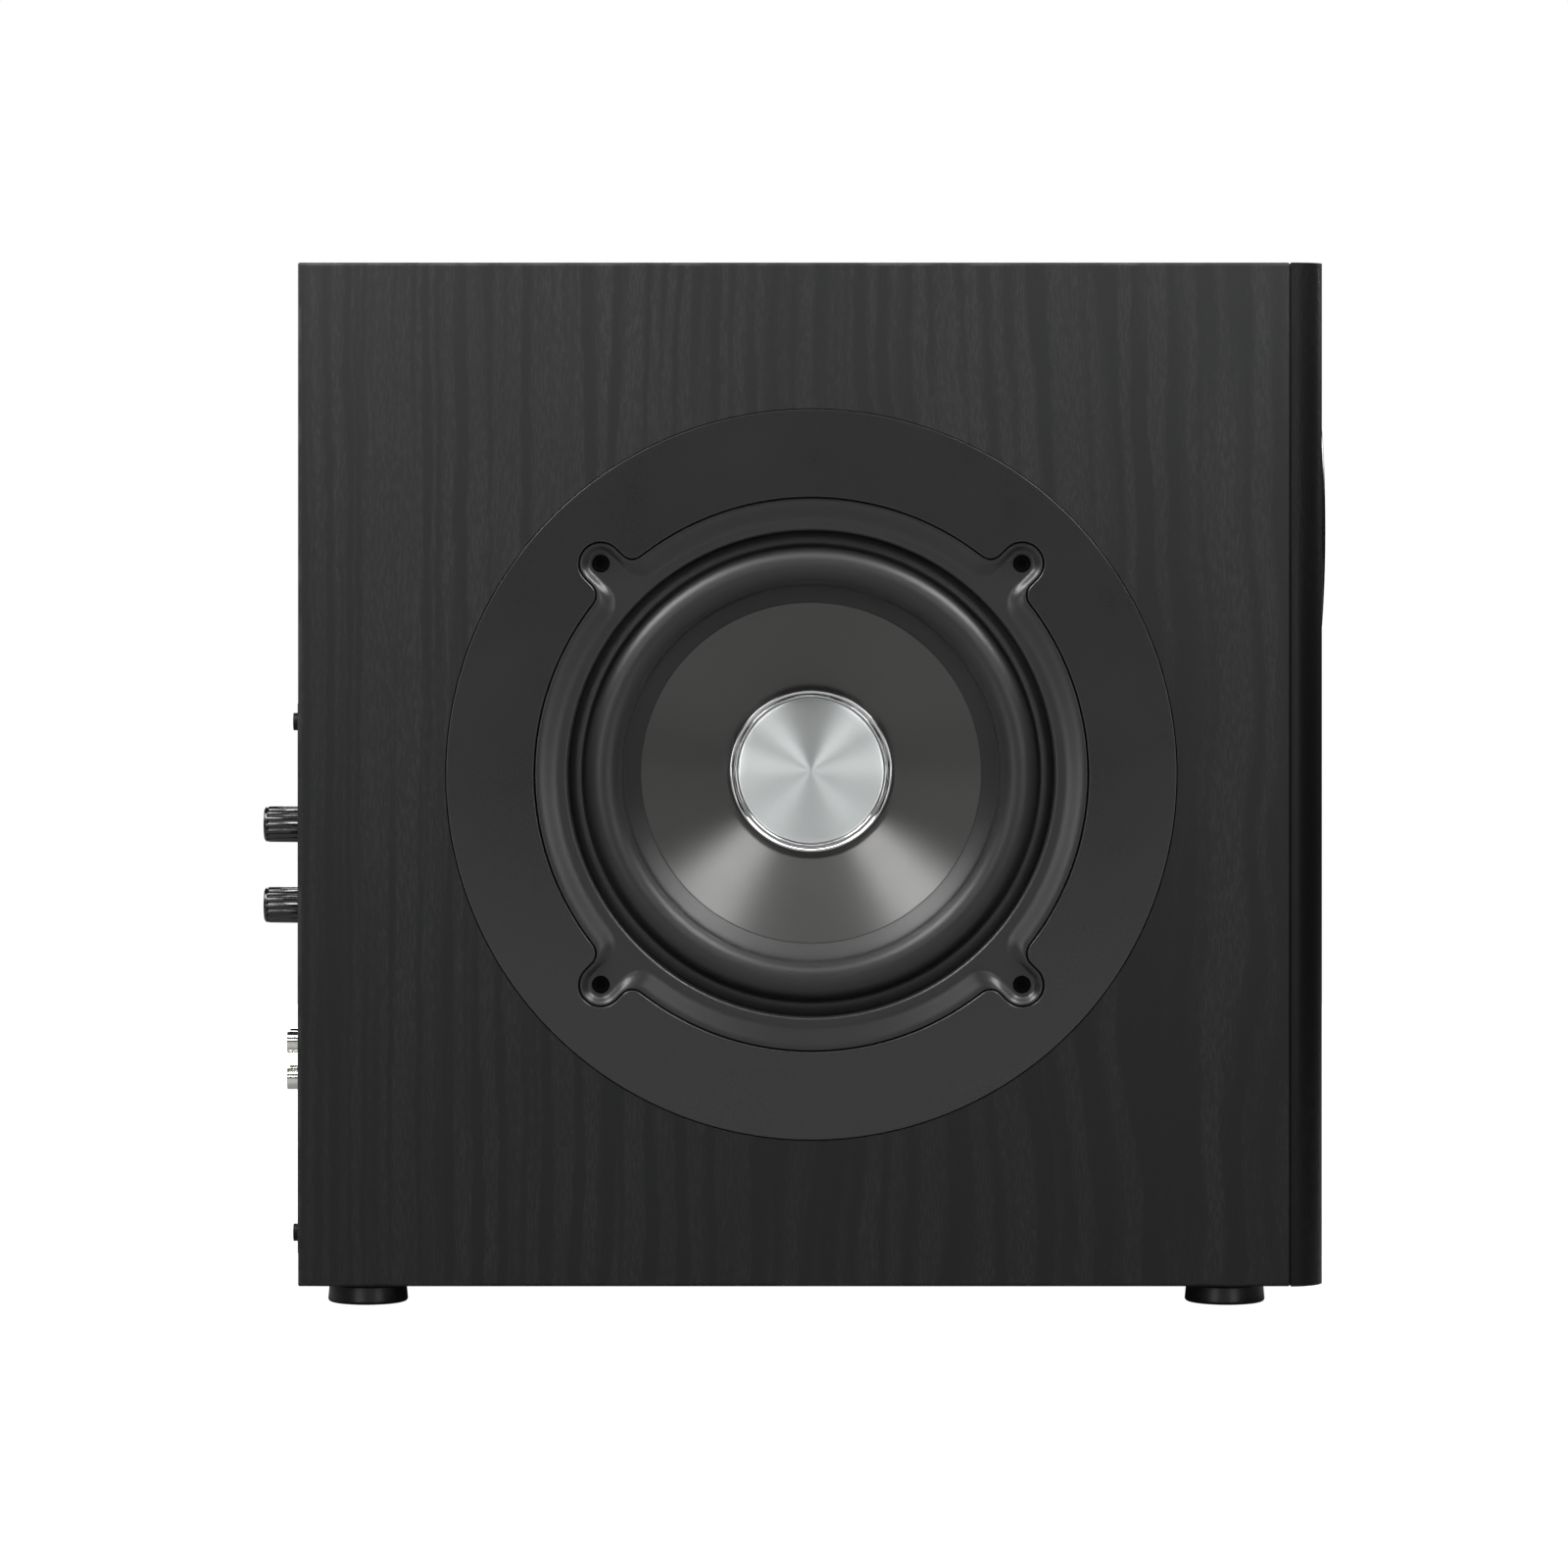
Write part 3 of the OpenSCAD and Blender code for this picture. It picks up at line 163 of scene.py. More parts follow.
def spun(name, colour, rough, pitch, bump, vary, centre, **shader):
    """Spun metal about the driver's axis: circular tool marks and a radial stretch of its highlights."""
    g = Graph(name, metallic=1.0, **shader)
    _, y, z = g.axes()
    dy = g.math("SUBTRACT", y, centre[0])
    dz = g.math("SUBTRACT", z, centre[1])
    radius = g.math("SQRT", g.math("ADD", g.math("MULTIPLY", dy, dy), g.math("MULTIPLY", dz, dz)))
    marks = g.noise(g.vector(g.math("MULTIPLY", radius, pitch), 0.0, 0.0), 1, 2, 0.6)
    coarse = g.noise(g.vector(g.math("MULTIPLY", radius, pitch * 0.12), 3.0, 0.0), 1, 2, 0.5)
    slow = g.noise(g.coords, 30, 3, 0.6)
    both = g.math("ADD", g.math("MULTIPLY", marks, 0.7), g.math("MULTIPLY", coarse, 0.3))
    g.set(base_color=g.mix(both, tint(colour, 1 - vary), tint(colour, 1 + vary)))
    wear = g.math("ADD", g.math("MULTIPLY", slow, 0.5), g.math("MULTIPLY", marks, 0.5))
    g.set(roughness=g.range(wear, 0.3, 0.7, rough * 0.9, rough * 1.12, False))
    g.set(normal=g.bump(both, bump, 0.00004))
    g.set(tangent=g.add("ShaderNodeTangent", direction_type="RADIAL", axis="X").outputs[0])
    return g.material


def woven(name, light, dark, per_metre, rough=0.85, bump=0.6, **shader):
    """Plain weave from two crossed waves."""
    g = Graph(name, **shader)
    _, y, z = g.axes()
    u = g.math("SINE", g.math("MULTIPLY", y, per_metre * TURN))
    v = g.math("SINE", g.math("MULTIPLY", z, per_metre * TURN))
    weave = g.math("MULTIPLY_ADD", g.math("MULTIPLY", u, v), 0.5, 0.5)
    slow = g.noise(g.coords, 60, 3)
    g.set(base_color=g.mix(g.math("ADD", g.math("MULTIPLY", weave, 0.7), g.math("MULTIPLY", slow, 0.3)), dark, light))
    g.set(roughness=g.range(slow, 0.3, 0.7, rough * 0.9, min(1, rough * 1.1), False))
    g.set(normal=g.bump(weave, bump, 0.0002))
    return g.material


def vinyl(name, ground, streak, along, rough=0.5):
    """Woodgrain film: wavy bands of short pores on a darker ground.

    The grain is straight and fine at the rear, and broad towards the front.
    """
    g = Graph(name, specular_ior_level=0.15)
    x, y, z = g.axes()
    if along == "Z":
        u, v = g.math("SUBTRACT", y, g.math("ABSOLUTE", x)), z
    else:
        u, v = g.math("SUBTRACT", y, 0.165), x
    amount = g.range(u, 0.0, -0.34, 0.003, 0.016)
    bend = g.noise(g.vector(g.math("MULTIPLY", u, 10.0), g.math("MULTIPLY", v, 6.0), 0.0), 1, 2, 0.5)
    jitter = g.noise(g.vector(g.math("MULTIPLY", u, 260.0), g.math("MULTIPLY", v, 75.0), 4.0), 1, 2, 0.5)
    warped = g.math("ADD", u, g.math("MULTIPLY", g.math("SUBTRACT", bend, 0.5), g.math("MULTIPLY", amount, 2.6)))
    warped = g.math("ADD", warped, g.math("MULTIPLY", g.math("SUBTRACT", jitter, 0.5), 0.0030))
    square = g.math("MULTIPLY", warped, warped)
    count = g.math("ADD", g.math("MULTIPLY", warped, 221.0), g.math("MULTIPLY", square, 205.0))
    bands = g.noise(g.vector(count, g.math("MULTIPLY", v, 2.6), 7.0), 1, 1.2, 0.4)
    band = g.range(bands, 0.42, 0.58)
    grain = g.vector(g.math("MULTIPLY", u, 1700.0), g.math("MULTIPLY", v, 230.0), g.math("MULTIPLY", bend, 3.0))
    pores = g.noise(grain, 1, 2, 0.6)
    fleck = g.range(pores, 0.44, 0.62)
    rare = g.range(pores, 0.62, 0.74)
    broad = g.noise(g.vector(g.math("MULTIPLY", u, 16.0), g.math("MULTIPLY", v, 5.0), 2.0), 1, 2, 0.5)
    skin = g.noise(g.coords, 2600, 2, 0.6)
    light = g.math("ADD", g.math("MULTIPLY", band, g.math("MULTIPLY_ADD", fleck, 0.65, 0.35)),
                   g.math("MULTIPLY", rare, 0.5), clamp=True)
    light = g.math("MULTIPLY", light, g.range(broad, 0.3, 0.7, 0.55, 1.0))
    # thumbed edges: the film is a little paler where two faces meet
    edge = None
    for axis, low, high in ((x, CAB_LO.x, CAB_HI.x), (y, CAB_LO.y, CAB_HI.y), (z, CAB_LO.z, CAB_HI.z)):
        near = g.math("MAXIMUM", g.range(axis, low + 0.0022, low + 0.0002),
                      g.range(axis, high - 0.0022, high - 0.0002))
        edge = near if edge is None else g.math("ADD", edge, near)
    wear = g.math("MULTIPLY", g.range(edge, 1.2, 2.0), g.range(g.noise(g.coords, 70, 3), 0.42, 0.62))
    colour = g.mix(light, ground, streak)
    colour = g.mix(g.math("MULTIPLY", skin, 0.3), colour, tint(ground, 0.55))
    colour = g.mix(g.math("MULTIPLY", wear, 0.5), colour, tint(streak, 1.8))
    g.set(base_color=colour)
    gloss = g.math("ADD", g.math("MULTIPLY", light, 0.6), g.math("MULTIPLY", skin, 0.4))
    g.set(roughness=g.range(gloss, 0.1, 0.9, rough * 1.1, rough * 0.92, False))
    height = g.math("ADD", g.math("MULTIPLY", g.math("MULTIPLY", fleck, band), -0.75), g.math("MULTIPLY", skin, 0.55))
    g.set(normal=g.bump(height, 0.32, 0.00018))
    return g.material


def fibre(name, colour, rough=0.9, **shader):
    """Raw fibreboard, card or wadding."""
    g = Graph(name, **shader)
    fine = g.noise(g.coords, 700, 4, 0.7)
    slow = g.noise(g.coords, 40, 3)
    both = g.math("ADD", g.math("MULTIPLY", fine, 0.6), g.math("MULTIPLY", slow, 0.4))
    g.set(base_color=g.mix(both, tint(colour, 0.7), tint(colour, 1.25)))
    g.set(roughness=g.range(fine, 0.3, 0.7, rough * 0.9, min(1, rough * 1.1), False))
    g.set(normal=g.bump(fine, 0.5, 0.0003))
    return g.material


def wound(name, colour, per_metre, axis, rough=0.4, metallic=0.0, **shader):
    """Wire or film in close turns along one axis."""
    g = Graph(name, metallic=metallic, **shader)
    a = g.axes()[axis]
    turns = g.math("MULTIPLY_ADD", g.math("SINE", g.math("MULTIPLY", a, per_metre * TURN)), 0.5, 0.5)
    slow = g.noise(g.coords, 90, 3)
    both = g.math("ADD", g.math("MULTIPLY", turns, 0.6), g.math("MULTIPLY", slow, 0.4))
    g.set(base_color=g.mix(both, tint(colour, 0.6), tint(colour, 1.15)))
    g.set(roughness=g.range(slow, 0.3, 0.7, rough * 0.85, rough * 1.15, False))
    g.set(normal=g.bump(turns, 0.5, 0.0002))
    return g.material


centre = (DRIVER_Y, DRIVER_Z)
GROUND, STREAK = (0.0205, 0.0210, 0.0210), (0.037, 0.038, 0.0375)
RADIAL = {"anisotropic_rotation": 0.25}  # a quarter turn from the ring marks
MATS = {
    "vinyl_up": vinyl("vinyl_up", GROUND, STREAK, "Z"),
    "vinyl_across": vinyl("vinyl_across", GROUND, STREAK, "X"),
    "baffle_film": vinyl("baffle_film", (0.006, 0.006, 0.006), (0.010, 0.010, 0.010), "Z", rough=0.30),
    "rear_film": vinyl("rear_film", (0.024, 0.024, 0.024), (0.038, 0.038, 0.038), "Z", rough=0.55),
    "fibreboard": fibre("fibreboard", (0.35, 0.24, 0.15)),
    "wadding": fibre("wadding", (0.74, 0.74, 0.71), 0.95, sheen_weight=0.4),
    "foot_rubber": moulded("foot_rubber", (0.018, 0.018, 0.018), 0.36, 1400, 0.18),
    "zinc": brushed("zinc", (0.55, 0.55, 0.57), 0.32, (900, 900, 900)),
    "black_steel": moulded("black_steel", (0.008, 0.008, 0.008), 0.45, 1600, 0.1, specular_ior_level=0.25),
    # near-black and almost without gloss: partly the screws' own black oxide, and partly painted shade for the deep
    # holes they sit in
    "screw_black_and_hole_shade": moulded("screw_black_and_hole_shade", (0.0015, 0.0015, 0.0015), 0.7, 1600, 0.1, specular_ior_level=0.05),
    "trim": moulded("trim", (0.0130, 0.0130, 0.0126), 0.29, 2200, 0.10, 0.06, 0.00006, specular_ior_level=0.75),
    "basket": moulded("basket", (0.024, 0.024, 0.024), 0.33, 2000, 0.14, 0.08, 0.00006),
    "gasket": moulded("gasket", (0.012, 0.012, 0.012), 0.8, 1500, 0.6, 0.3, 0.0004),
    "surround": moulded("surround", (0.019, 0.019, 0.019), 0.40, 2600, 0.42, 0.1, 0.00010),
    "cone": spun("cone", (0.120, 0.119, 0.117), 0.40, 5200, 0.10, 0.05, centre, anisotropic=0.82, **RADIAL),
    "cap": spun("cap", (0.90, 0.935, 0.93), 0.34, 5200, 0.10, 0.03, centre, anisotropic=0.8, **RADIAL),
    "chrome": brushed("chrome", (0.80, 0.80, 0.80), 0.12, (700, 700, 700), 0.008, 0.03),
    "former": moulded("former", (0.55, 0.45, 0.25), 0.45, 500, 0.1),
    "coil": wound("coil", (0.72, 0.34, 0.14), 2600, 0, 0.3, 1.0),
    "spider": woven("spider", (0.62, 0.42, 0.12), (0.30, 0.18, 0.04), 900),
    "motor_steel": brushed("motor_steel", (0.45, 0.45, 0.47), 0.34, (300, 1800, 1800)),
    "ferrite": moulded("ferrite", (0.05, 0.05, 0.055), 0.6, 700, 0.4, 0.25, 0.0002),
    "terminal": fibre("terminal", (0.28, 0.17, 0.09), 0.8),
    "braid": wound("braid", (0.66, 0.42, 0.22), 1400, 2, 0.4, 1.0),
    "port_gloss": moulded("port_gloss", (0.010, 0.010, 0.0105), 0.16, 500, 0.03, 0.1, 0.00005,
                          coat_weight=0.6, coat_roughness=0.08),
    "tube": fibre("tube", (0.035, 0.035, 0.035), 0.7),
    "panel_paint": moulded("panel_paint", (0.020, 0.020, 0.0205), 0.5, 1500, 0.5, 0.15, 0.00015),
    "knob": moulded("knob", (0.010, 0.010, 0.010), 0.18, 900, 0.05, 0.12, 0.00005,
                    coat_weight=0.4, coat_roughness=0.1),
    "print": moulded("print", (0.72, 0.72, 0.70), 0.6, 1800, 0.1),
    "shaft": brushed("shaft", (0.62, 0.62, 0.60), 0.25, (200, 3000, 200)),
    "nickel": brushed("nickel", (0.78, 0.77, 0.73), 0.16, (400, 2200, 400), 0.08, 0.06),
    "insulator_white": moulded("insulator_white", (0.78, 0.78, 0.75), 0.4, 900, 0.1, 0.05),
    "insulator_red": moulded("insulator_red", (0.55, 0.02, 0.02), 0.4, 900, 0.1, 0.08),
    "nylon": moulded("nylon", (0.016, 0.016, 0.016), 0.42, 1300, 0.25),
    "lens": moulded("lens", (0.45, 0.015, 0.012), 0.12, 300, 0.03, 0.1, coat_weight=0.5),
    "board": moulded("board", (0.015, 0.14, 0.05), 0.35, 300, 0.3, 0.25),
    "sink": brushed("sink", (0.56, 0.57, 0.59), 0.38, (1500, 60, 60)),
    "sleeve": moulded("sleeve", (0.02, 0.03, 0.12), 0.3, 200, 0.1),
    "toroid": wound("toroid", (0.62, 0.45, 0.10), 330, 2, 0.3),
    "lead": moulded("lead", (0.45, 0.02, 0.02), 0.45, 800, 0.1),
}

NODE_MATS = {
    "driver_side_panel": "vinyl_up", "plain_side_panel": "vinyl_up", "top_panel": "vinyl_across",
    "bottom_panel": "vinyl_across", "front_baffle": "baffle_film", "rear_panel": "rear_film",
    "cross_brace": "fibreboard", "damping_wool": "wadding", "foot_front_left": "foot_rubber",
    "foot_front_right": "foot_rubber", "foot_rear_left": "foot_rubber", "foot_rear_right": "foot_rubber",
    "foot_screws": "zinc", "driver_trim_ring": "trim", "driver_basket": "basket",
    "driver_gasket": "gasket", "driver_screws": "screw_black_and_hole_shade", "surround": "surround",
    "cone": "cone", "dust_cap": "cap", "dust_cap_ring": "chrome", "voice_coil_former": "former",
    "voice_coil": "coil", "spider": "spider", "top_plate": "motor_steel", "magnet": "ferrite",
    "pole_yoke": "motor_steel", "magnet_boot": "gasket", "terminal_board": "terminal",
    "flexible_leads": "braid", "port_flare": "port_gloss", "port_tube": "tube",
    "amp_panel": "panel_paint", "amp_seal": "gasket", "amp_screws": "black_steel",
    "volume_knob": "knob", "volume_marker": "print", "volume_shaft": "shaft",
    "lowpass_knob": "knob", "lowpass_marker": "print", "lowpass_shaft": "shaft",
    "potentiometers": "nickel", "pot_nuts": "nickel", "jack_block": "nylon", "jack_shells": "nickel",
    "jack_inserts_white": "insulator_white", "jack_inserts_red": "insulator_red",
    "phase_switch": "nickel", "phase_slider": "nylon", "rocker_frame": "nylon",
    "power_rocker": "nylon", "mains_inlet": "nylon", "inlet_pins": "nickel",
    "indicator_light": "lens", "circuit_board": "board", "heat_sink": "sink",
    "capacitors": "sleeve", "transformer": "toroid", "transformer_mount": "zinc", "driver_lead": "lead",
}
for name, key in NODE_MATS.items():
    for slot in nodes[name].material_slots:
        slot.material = MATS[key]


# ---------------------------------------------------------------- mesh helpers

def at_driver(x, y, z):
    """A point in the driver's own frame, in mm, with z out of the side."""
    return (SIDE_X - z * MM, DRIVER_Y + y * MM, DRIVER_Z + x * MM)


def at_port(x, y, z):
    return (x * MM, FRONT_Y - z * MM, PORT_Z + y * MM)


def piece(name, verts, faces, material, slot, sharp=35.0):
    """A mesh object with shared normals, split where two faces meet at more than sharp degrees."""
    mesh = bpy.data.meshes.new(name)
    mesh.from_pydata([tuple(v) for v in verts], [], faces)
    bm = bmesh.new()
    bm.from_mesh(mesh)
    bmesh.ops.remove_doubles(bm, verts=bm.verts, dist=1e-7)
    bmesh.ops.recalc_face_normals(bm, faces=bm.faces)
    bm.to_mesh(mesh)
    bm.free()
    mesh.polygons.foreach_set("use_smooth", [True] * len(mesh.polygons))
    mesh.set_sharp_from_angle(angle=math.radians(sharp))
    mesh.materials.append(MATS[material])
    obj = bpy.data.objects.new(name, mesh)
    bpy.context.scene.collection.objects.link(obj)
    return obj


def turned(profile, place, steps=256):
    """A closed section of (radius, height) in mm turned about the axis of place."""
    verts, faces = [], []
    n = len(profile)
    for k in range(steps):
        a = 2 * math.pi * k / steps
        verts += [place(r * math.cos(a), r * math.sin(a), z) for r, z in profile]
    for k in range(steps):
        m = (k + 1) % steps
        for i in range(n):
            j = (i + 1) % n
            if profile[i][0] < 1e-9 and profile[j][0] < 1e-9:
                continue
            quad = [k * n + i, k * n + j, m * n + j, m * n + i]
            if profile[j][0] < 1e-9:
                quad = [k * n + i, k * n + j, m * n + i]
            elif profile[i][0] < 1e-9:
                quad = [k * n + i, k * n + j, m * n + j]
            faces.append(quad)
    return verts, faces


def arc(cx, cy, r, a, b, n):
    return [(cx + r * math.cos(math.radians(a + (b - a) * i / n)),
             cy + r * math.sin(math.radians(a + (b - a) * i / n))) for i in range(n + 1)]


def eared(r, er, f, pitch):
    """Outline of a round flange with four ears, as in the CAD, and 0 on its round parts to 1 on its ears."""
    cx = math.sqrt((r + f) ** 2 - (er + f) ** 2)
    p = math.degrees(math.atan2(er + f, cx))
    steps = 8
    a = arc(cx, -er - f, f, 180 - p, 90, steps)
    b = arc(pitch, 0, er, -90, 90, 20)
    c = arc(cx, er + f, f, -90, p - 180, steps)
    d = arc(0, 0, r, p + 1, 89 - p, 34)
    climb = [i / steps for i in range(steps + 1)]
    weights = climb + [1] * len(b) + [1 - w for w in climb] + [0] * len(d)
    points, kinds = [], []
    for q in range(4):
        t = math.radians(45 + 90 * q)
        for (x, y), w in zip(a + b + c + d, weights):
            point = (x * math.cos(t) - y * math.sin(t), x * math.sin(t) + y * math.cos(t))
            if points and math.dist(points[-1], point) < 1e-4:
                continue
            points.append(point)
            kinds.append(w * w * (3 - 2 * w))
    return np.array(points), np.array(kinds)


def inward(points):
    """Unit normals of a closed anticlockwise outline, pointing in."""
    t = np.roll(points, -1, 0) - np.roll(points, 1, 0)
    t /= np.linalg.norm(t, axis=1)[:, None]
    return np.stack([-t[:, 1], t[:, 0]], 1)


def circle(r, n, cx=0.0, cy=0.0):
    turns = [2 * math.pi * i / n for i in range(n)]
    return np.array([(cx + r * math.cos(t), cy + r * math.sin(t)) for t in turns])


def flat_fill(loops):
    """Triangles of the flat region inside an odd number of the loops. Indices run through the loops in order."""
    points = np.concatenate(loops)
    edges, start = [], 0
    for loop in loops:
        n = len(loop)
        edges += [(start + i, start + (i + 1) % n) for i in range(n)]
        start += n
    out = delaunay_2d_cdt([Vector(p) for p in points], edges, [], 0, 1e-7)
    back = [ids[0] if ids else -1 for ids in out[3]]
    keep = []
    for tri in out[2]:
        if any(back[i] < 0 for i in tri):
            continue
        c = sum((points[back[i]] for i in tri), np.zeros(2)) / len(tri)
        crossings = 0
        for loop in loops:
            a, b = loop, np.roll(loop, -1, 0)
            hit = ((a[:, 1] > c[1]) != (b[:, 1] > c[1]))
            with np.errstate(divide="ignore", invalid="ignore"):
                x = a[:, 0] + (c[1] - a[:, 1]) * (b[:, 0] - a[:, 0]) / (b[:, 1] - a[:, 1])
            crossings += int(np.sum(hit & (x > c[0])))
        if crossings % 2:
            keep.append([back[i] for i in tri])
    return keep


class Shell:
    """Gathers loops and faces in the driver's frame."""

    def __init__(self):
        self.verts, self.faces = [], []

    def loop(self, points, z):
        start = len(self.verts)
        self.verts += [at_driver(p[0], p[1], z) for p in points]
        return list(range(start, start + len(points)))

    def bridge(self, a, b):
        n = len(a)
        self.faces += [[a[i], a[(i + 1) % n], b[(i + 1) % n], b[i]] for i in range(n)]

    def fill(self, rings, loops):
        ids = [i for ring in rings for i in ring]
        self.faces += [[ids[i] for i in tri] for tri in flat_fill(loops)]


# ---------------------------------------------------------------- driver

# the CAD's own radii and depths, in mm
WELL, FLANGE, PITCH, EAR, FILLET = 90.6, 102.6, 110.6, 7.8, 5.4
RIM_Z, VALLEY_Z, FLOOR_Z = -0.8, -3.2, -6.5
TRIM_R, TRIM_FLAT_R = 135.5, 134.8


def make_frame():
    """The basket with a dished flange, whose wall narrows round each ear."""
    shell = Shell()
    outline, ear = eared(FLANGE, EAR, FILLET, PITCH)
    normal = inward(outline)
    wide, narrow = 9.3, 3.75
    width = wide + (narrow - wide) * ear
    rings = [shell.loop(outline, FLOOR_Z), shell.loop(outline, RIM_Z - 0.45)]
    steps = 18
    edge = [(0.05, -0.25), (0.14, -0.1), (0.26, -0.02)]
    for d, dz in edge:
        rings.append(shell.loop(outline + normal * d, RIM_Z + dz))
    for i in range(1, steps + 1):
        t = i / steps
        s = t * t * (3 - 2 * t)
        last = outline + normal * (0.26 + (width - 0.26) * t)[:, None]
        rings.append(shell.loop(last, RIM_Z + (VALLEY_Z - RIM_Z) * s))
    for a, b in zip(rings, rings[1:]):
        shell.bridge(a, b)
    n = 256
    inner = arc(WELL - 0.1 + 1.25, VALLEY_Z - 1.25, 1.25, 90, 180, 7)
    first = circle(inner[0][0] + 0.25, n)
    holes = [circle(3.35, 28, *(PITCH * np.array([math.cos(t), math.sin(t)])))
             for t in np.radians([45, 135, 225, 315])]
    ring = shell.loop(first, VALLEY_Z)
    hole_rings = [shell.loop(h, VALLEY_Z) for h in holes]
    shell.fill([rings[-1], ring] + hole_rings, [last, first] + holes)
    for h, top in zip(holes, hole_rings):
        shell.bridge(top, shell.loop(h, FLOOR_Z + 0.1))
    for r, z in inner + [(WELL - 0.1, -11.9), (83.6, -11.9), (83.0, -12.2), (83.0, -13.9)]:
        after = shell.loop(circle(r, n), z)
        shell.bridge(ring, after)
        ring = after
    under = circle(92.4, n)
    shell.fill([rings[0], shell.loop(under, FLOOR_Z)], [outline, under])
    # the bowl, legs and seat behind the flange are the CAD's own surface
    bm = bmesh.new()
    bm.from_mesh(nodes["driver_basket"].data)
    bmesh.ops.bisect_plane(bm, geom=bm.verts[:] + bm.edges[:] + bm.faces[:], dist=1e-7,
                           plane_co=(SIDE_X + 6.45 * MM, 0, 0), plane_no=(1, 0, 0), clear_inner=True)
    bm.verts.ensure_lookup_table()
    offset = len(shell.verts)
    shell.verts += [tuple(v.co) for v in bm.verts]
    shell.faces += [[offset + v.index for v in f.verts] for f in bm.faces]
    bm.free()
    obj = piece("driver_frame", shell.verts, shell.faces, "basket", "basket_metal", sharp=40)
    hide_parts("driver_basket")
    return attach(obj, "cabinet")


def make_trim():
    """Flat ring with a fine bevel round its outer and inner edges."""
    shell = Shell()
    outline, _ = eared(FLANGE + 0.4, EAR + 0.4, FILLET - 0.4, PITCH)
    out = -inward(outline)
    n = 360
    ear_bevel = ((0, -3.0), (0, -0.35), (0.06, -0.08), (0.2, 0.1), (0.42, 0.2), (0.6, 0.2))
    rim_bevel = ((TRIM_R, -3.0), (TRIM_R, 0.04), (135.48, 0.13), (135.43, 0.18), (135.3, 0.2), (TRIM_FLAT_R, 0.2))
    inner = [shell.loop(outline + out * d, z) for d, z in ear_bevel]
    rim = [shell.loop(circle(r, n), z) for r, z in rim_bevel]
    for chain in (inner, rim):
        for a, b in zip(chain, chain[1:]):
            shell.bridge(a, b)
    shell.fill([rim[-1], inner[-1]], [circle(TRIM_FLAT_R, n), outline + out * 0.6])
    shell.fill([rim[0], inner[0]], [circle(TRIM_R, n), outline])
    obj = piece("trim_ring", shell.verts, shell.faces, "trim", "trim_plastic", sharp=40)
    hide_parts("driver_trim_ring")
    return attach(obj, "cabinet")


def cone_z(r):
    """Height of the cone's face at radius r, in mm."""
    return -12.1 - (70 - r) * (30.4 / 53.0)


def radial_blend(obj):
    """Bakes obj's placement into its mesh and reads its points; it ties obj to neither the cabinet nor the cone."""
    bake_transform(obj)
    co = np.zeros(len(obj.data.vertices) * 3)
    obj.data.vertices.foreach_get("co", co)
    co = co.reshape(-1, 3)


def make_surround():
    """Half-roll with a flat foot, and a lapped band glued to the cone."""
    t = 0.9
    top = [(90.2, -12.0), (90.2, -11.3), (90.0, -11.1), (86.2, -11.1), (85.5, -10.95), (84.9, -10.3)]
    top += arc(77.4, -11.1, 7.4, 8, 172, 44)
    top += [(70.0, -10.75), (69.6, -11.2), (69.0, cone_z(69.0) + 0.62), (64.1, cone_z(64.1) + 0.6),
            (63.6, cone_z(63.6) + 0.45), (63.5, cone_z(63.5) + 0.02)]
    under = [(70.0, cone_z(70) + 0.02)] + arc(77.4, -11.1, 7.4 - t, 180, 0, 40) + [(83.9, -12.0)]
    obj = piece("rubber_surround", *turned(top + under, at_driver, 320), "surround", "surround_rubber", sharp=50)
    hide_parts("surround")
    radial_blend(obj)
    return obj


def make_cone():
    """Straight spun cone with a short neck on the coil."""
    radii = [17.0 + (70 - 17) * i / 24 for i in range(25)]
    face = [(r, cone_z(r)) for r in radii]
    back = [(70.0, -12.9), (44.0, -28.05), (18.0, -43.3), (18.0, -45.5), (17.0, -45.5)]
    obj = piece("spun_cone", *turned(face + back, at_driver, 320), "cone", "cone_aluminium")
    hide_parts("cone")
    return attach(obj, "diaphragm")


def make_cap():
    """Shallow spun cap with a small point, in a polished ring with two crests."""
    edge = -32.7
    face = [(0, edge + 1.5), (1.2, edge + 1.455), (4, edge + 1.29)]
    face += [(4 + 22.4 * i / 10, edge + 1.29 - 1.24 * i / 10) for i in range(1, 11)]
    face += [(27.0, edge - 0.02), (27.35, edge - 0.25), (27.35, edge - 0.8), (0, edge + 0.7)]
    cap = piece("spun_cap", *turned(face, at_driver, 320), "cap", "cap_aluminium", sharp=50)
    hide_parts("dust_cap")
    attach(cap, "diaphragm")
    top = -32.0
    ring = [(30.7, cone_z(30.7) - 0.05), (30.7, top - 0.9)] + arc(30.05, top - 0.65, 0.65, 0, 120, 7)
    ring += [(29.35, top - 0.5), (29.1, top - 0.62), (28.85, top - 0.5)] + arc(28.25, top - 0.5, 0.5, 70, 180, 7)
    ring += [(27.55, top - 0.9), (27.5, -33.5), (26.0, -33.5), (26.0, cone_z(26.0))]
    obj = piece("cap_ring", *turned(ring, at_driver, 320), "chrome", "chrome_ring", sharp=50)
    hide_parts("dust_cap_ring")
    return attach(obj, "diaphragm")


def make_spider():
    """Corrugated cloth from the voice coil to the shelf."""
    low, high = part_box("spider")
    mid = -(0.5 * (low.x + high.x) - SIDE_X) / MM
    start, end, waves, half = 21, 52, 4, 0.25

    def height(r):
        t = min(1, max(0, (r - start) / (end - start)))
        return mid + 1.5 * math.sin(2 * math.pi * waves * t) * math.sin(math.pi * t) ** 0.35

    radii = [start + (end - start) * i / 90 for i in range(91)]
    line = [(17.0, height(start))] + [(r, height(r)) for r in radii] + [(56, height(end))]
    up = [(r, z + half) for r, z in line]
    down = [(r, z - half) for r, z in reversed(line)]
    obj = piece("woven_spider", *turned(up + down, at_driver, 192), "spider", "spider_cloth", sharp=60)
    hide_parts("spider")
    radial_blend(obj)
    return obj


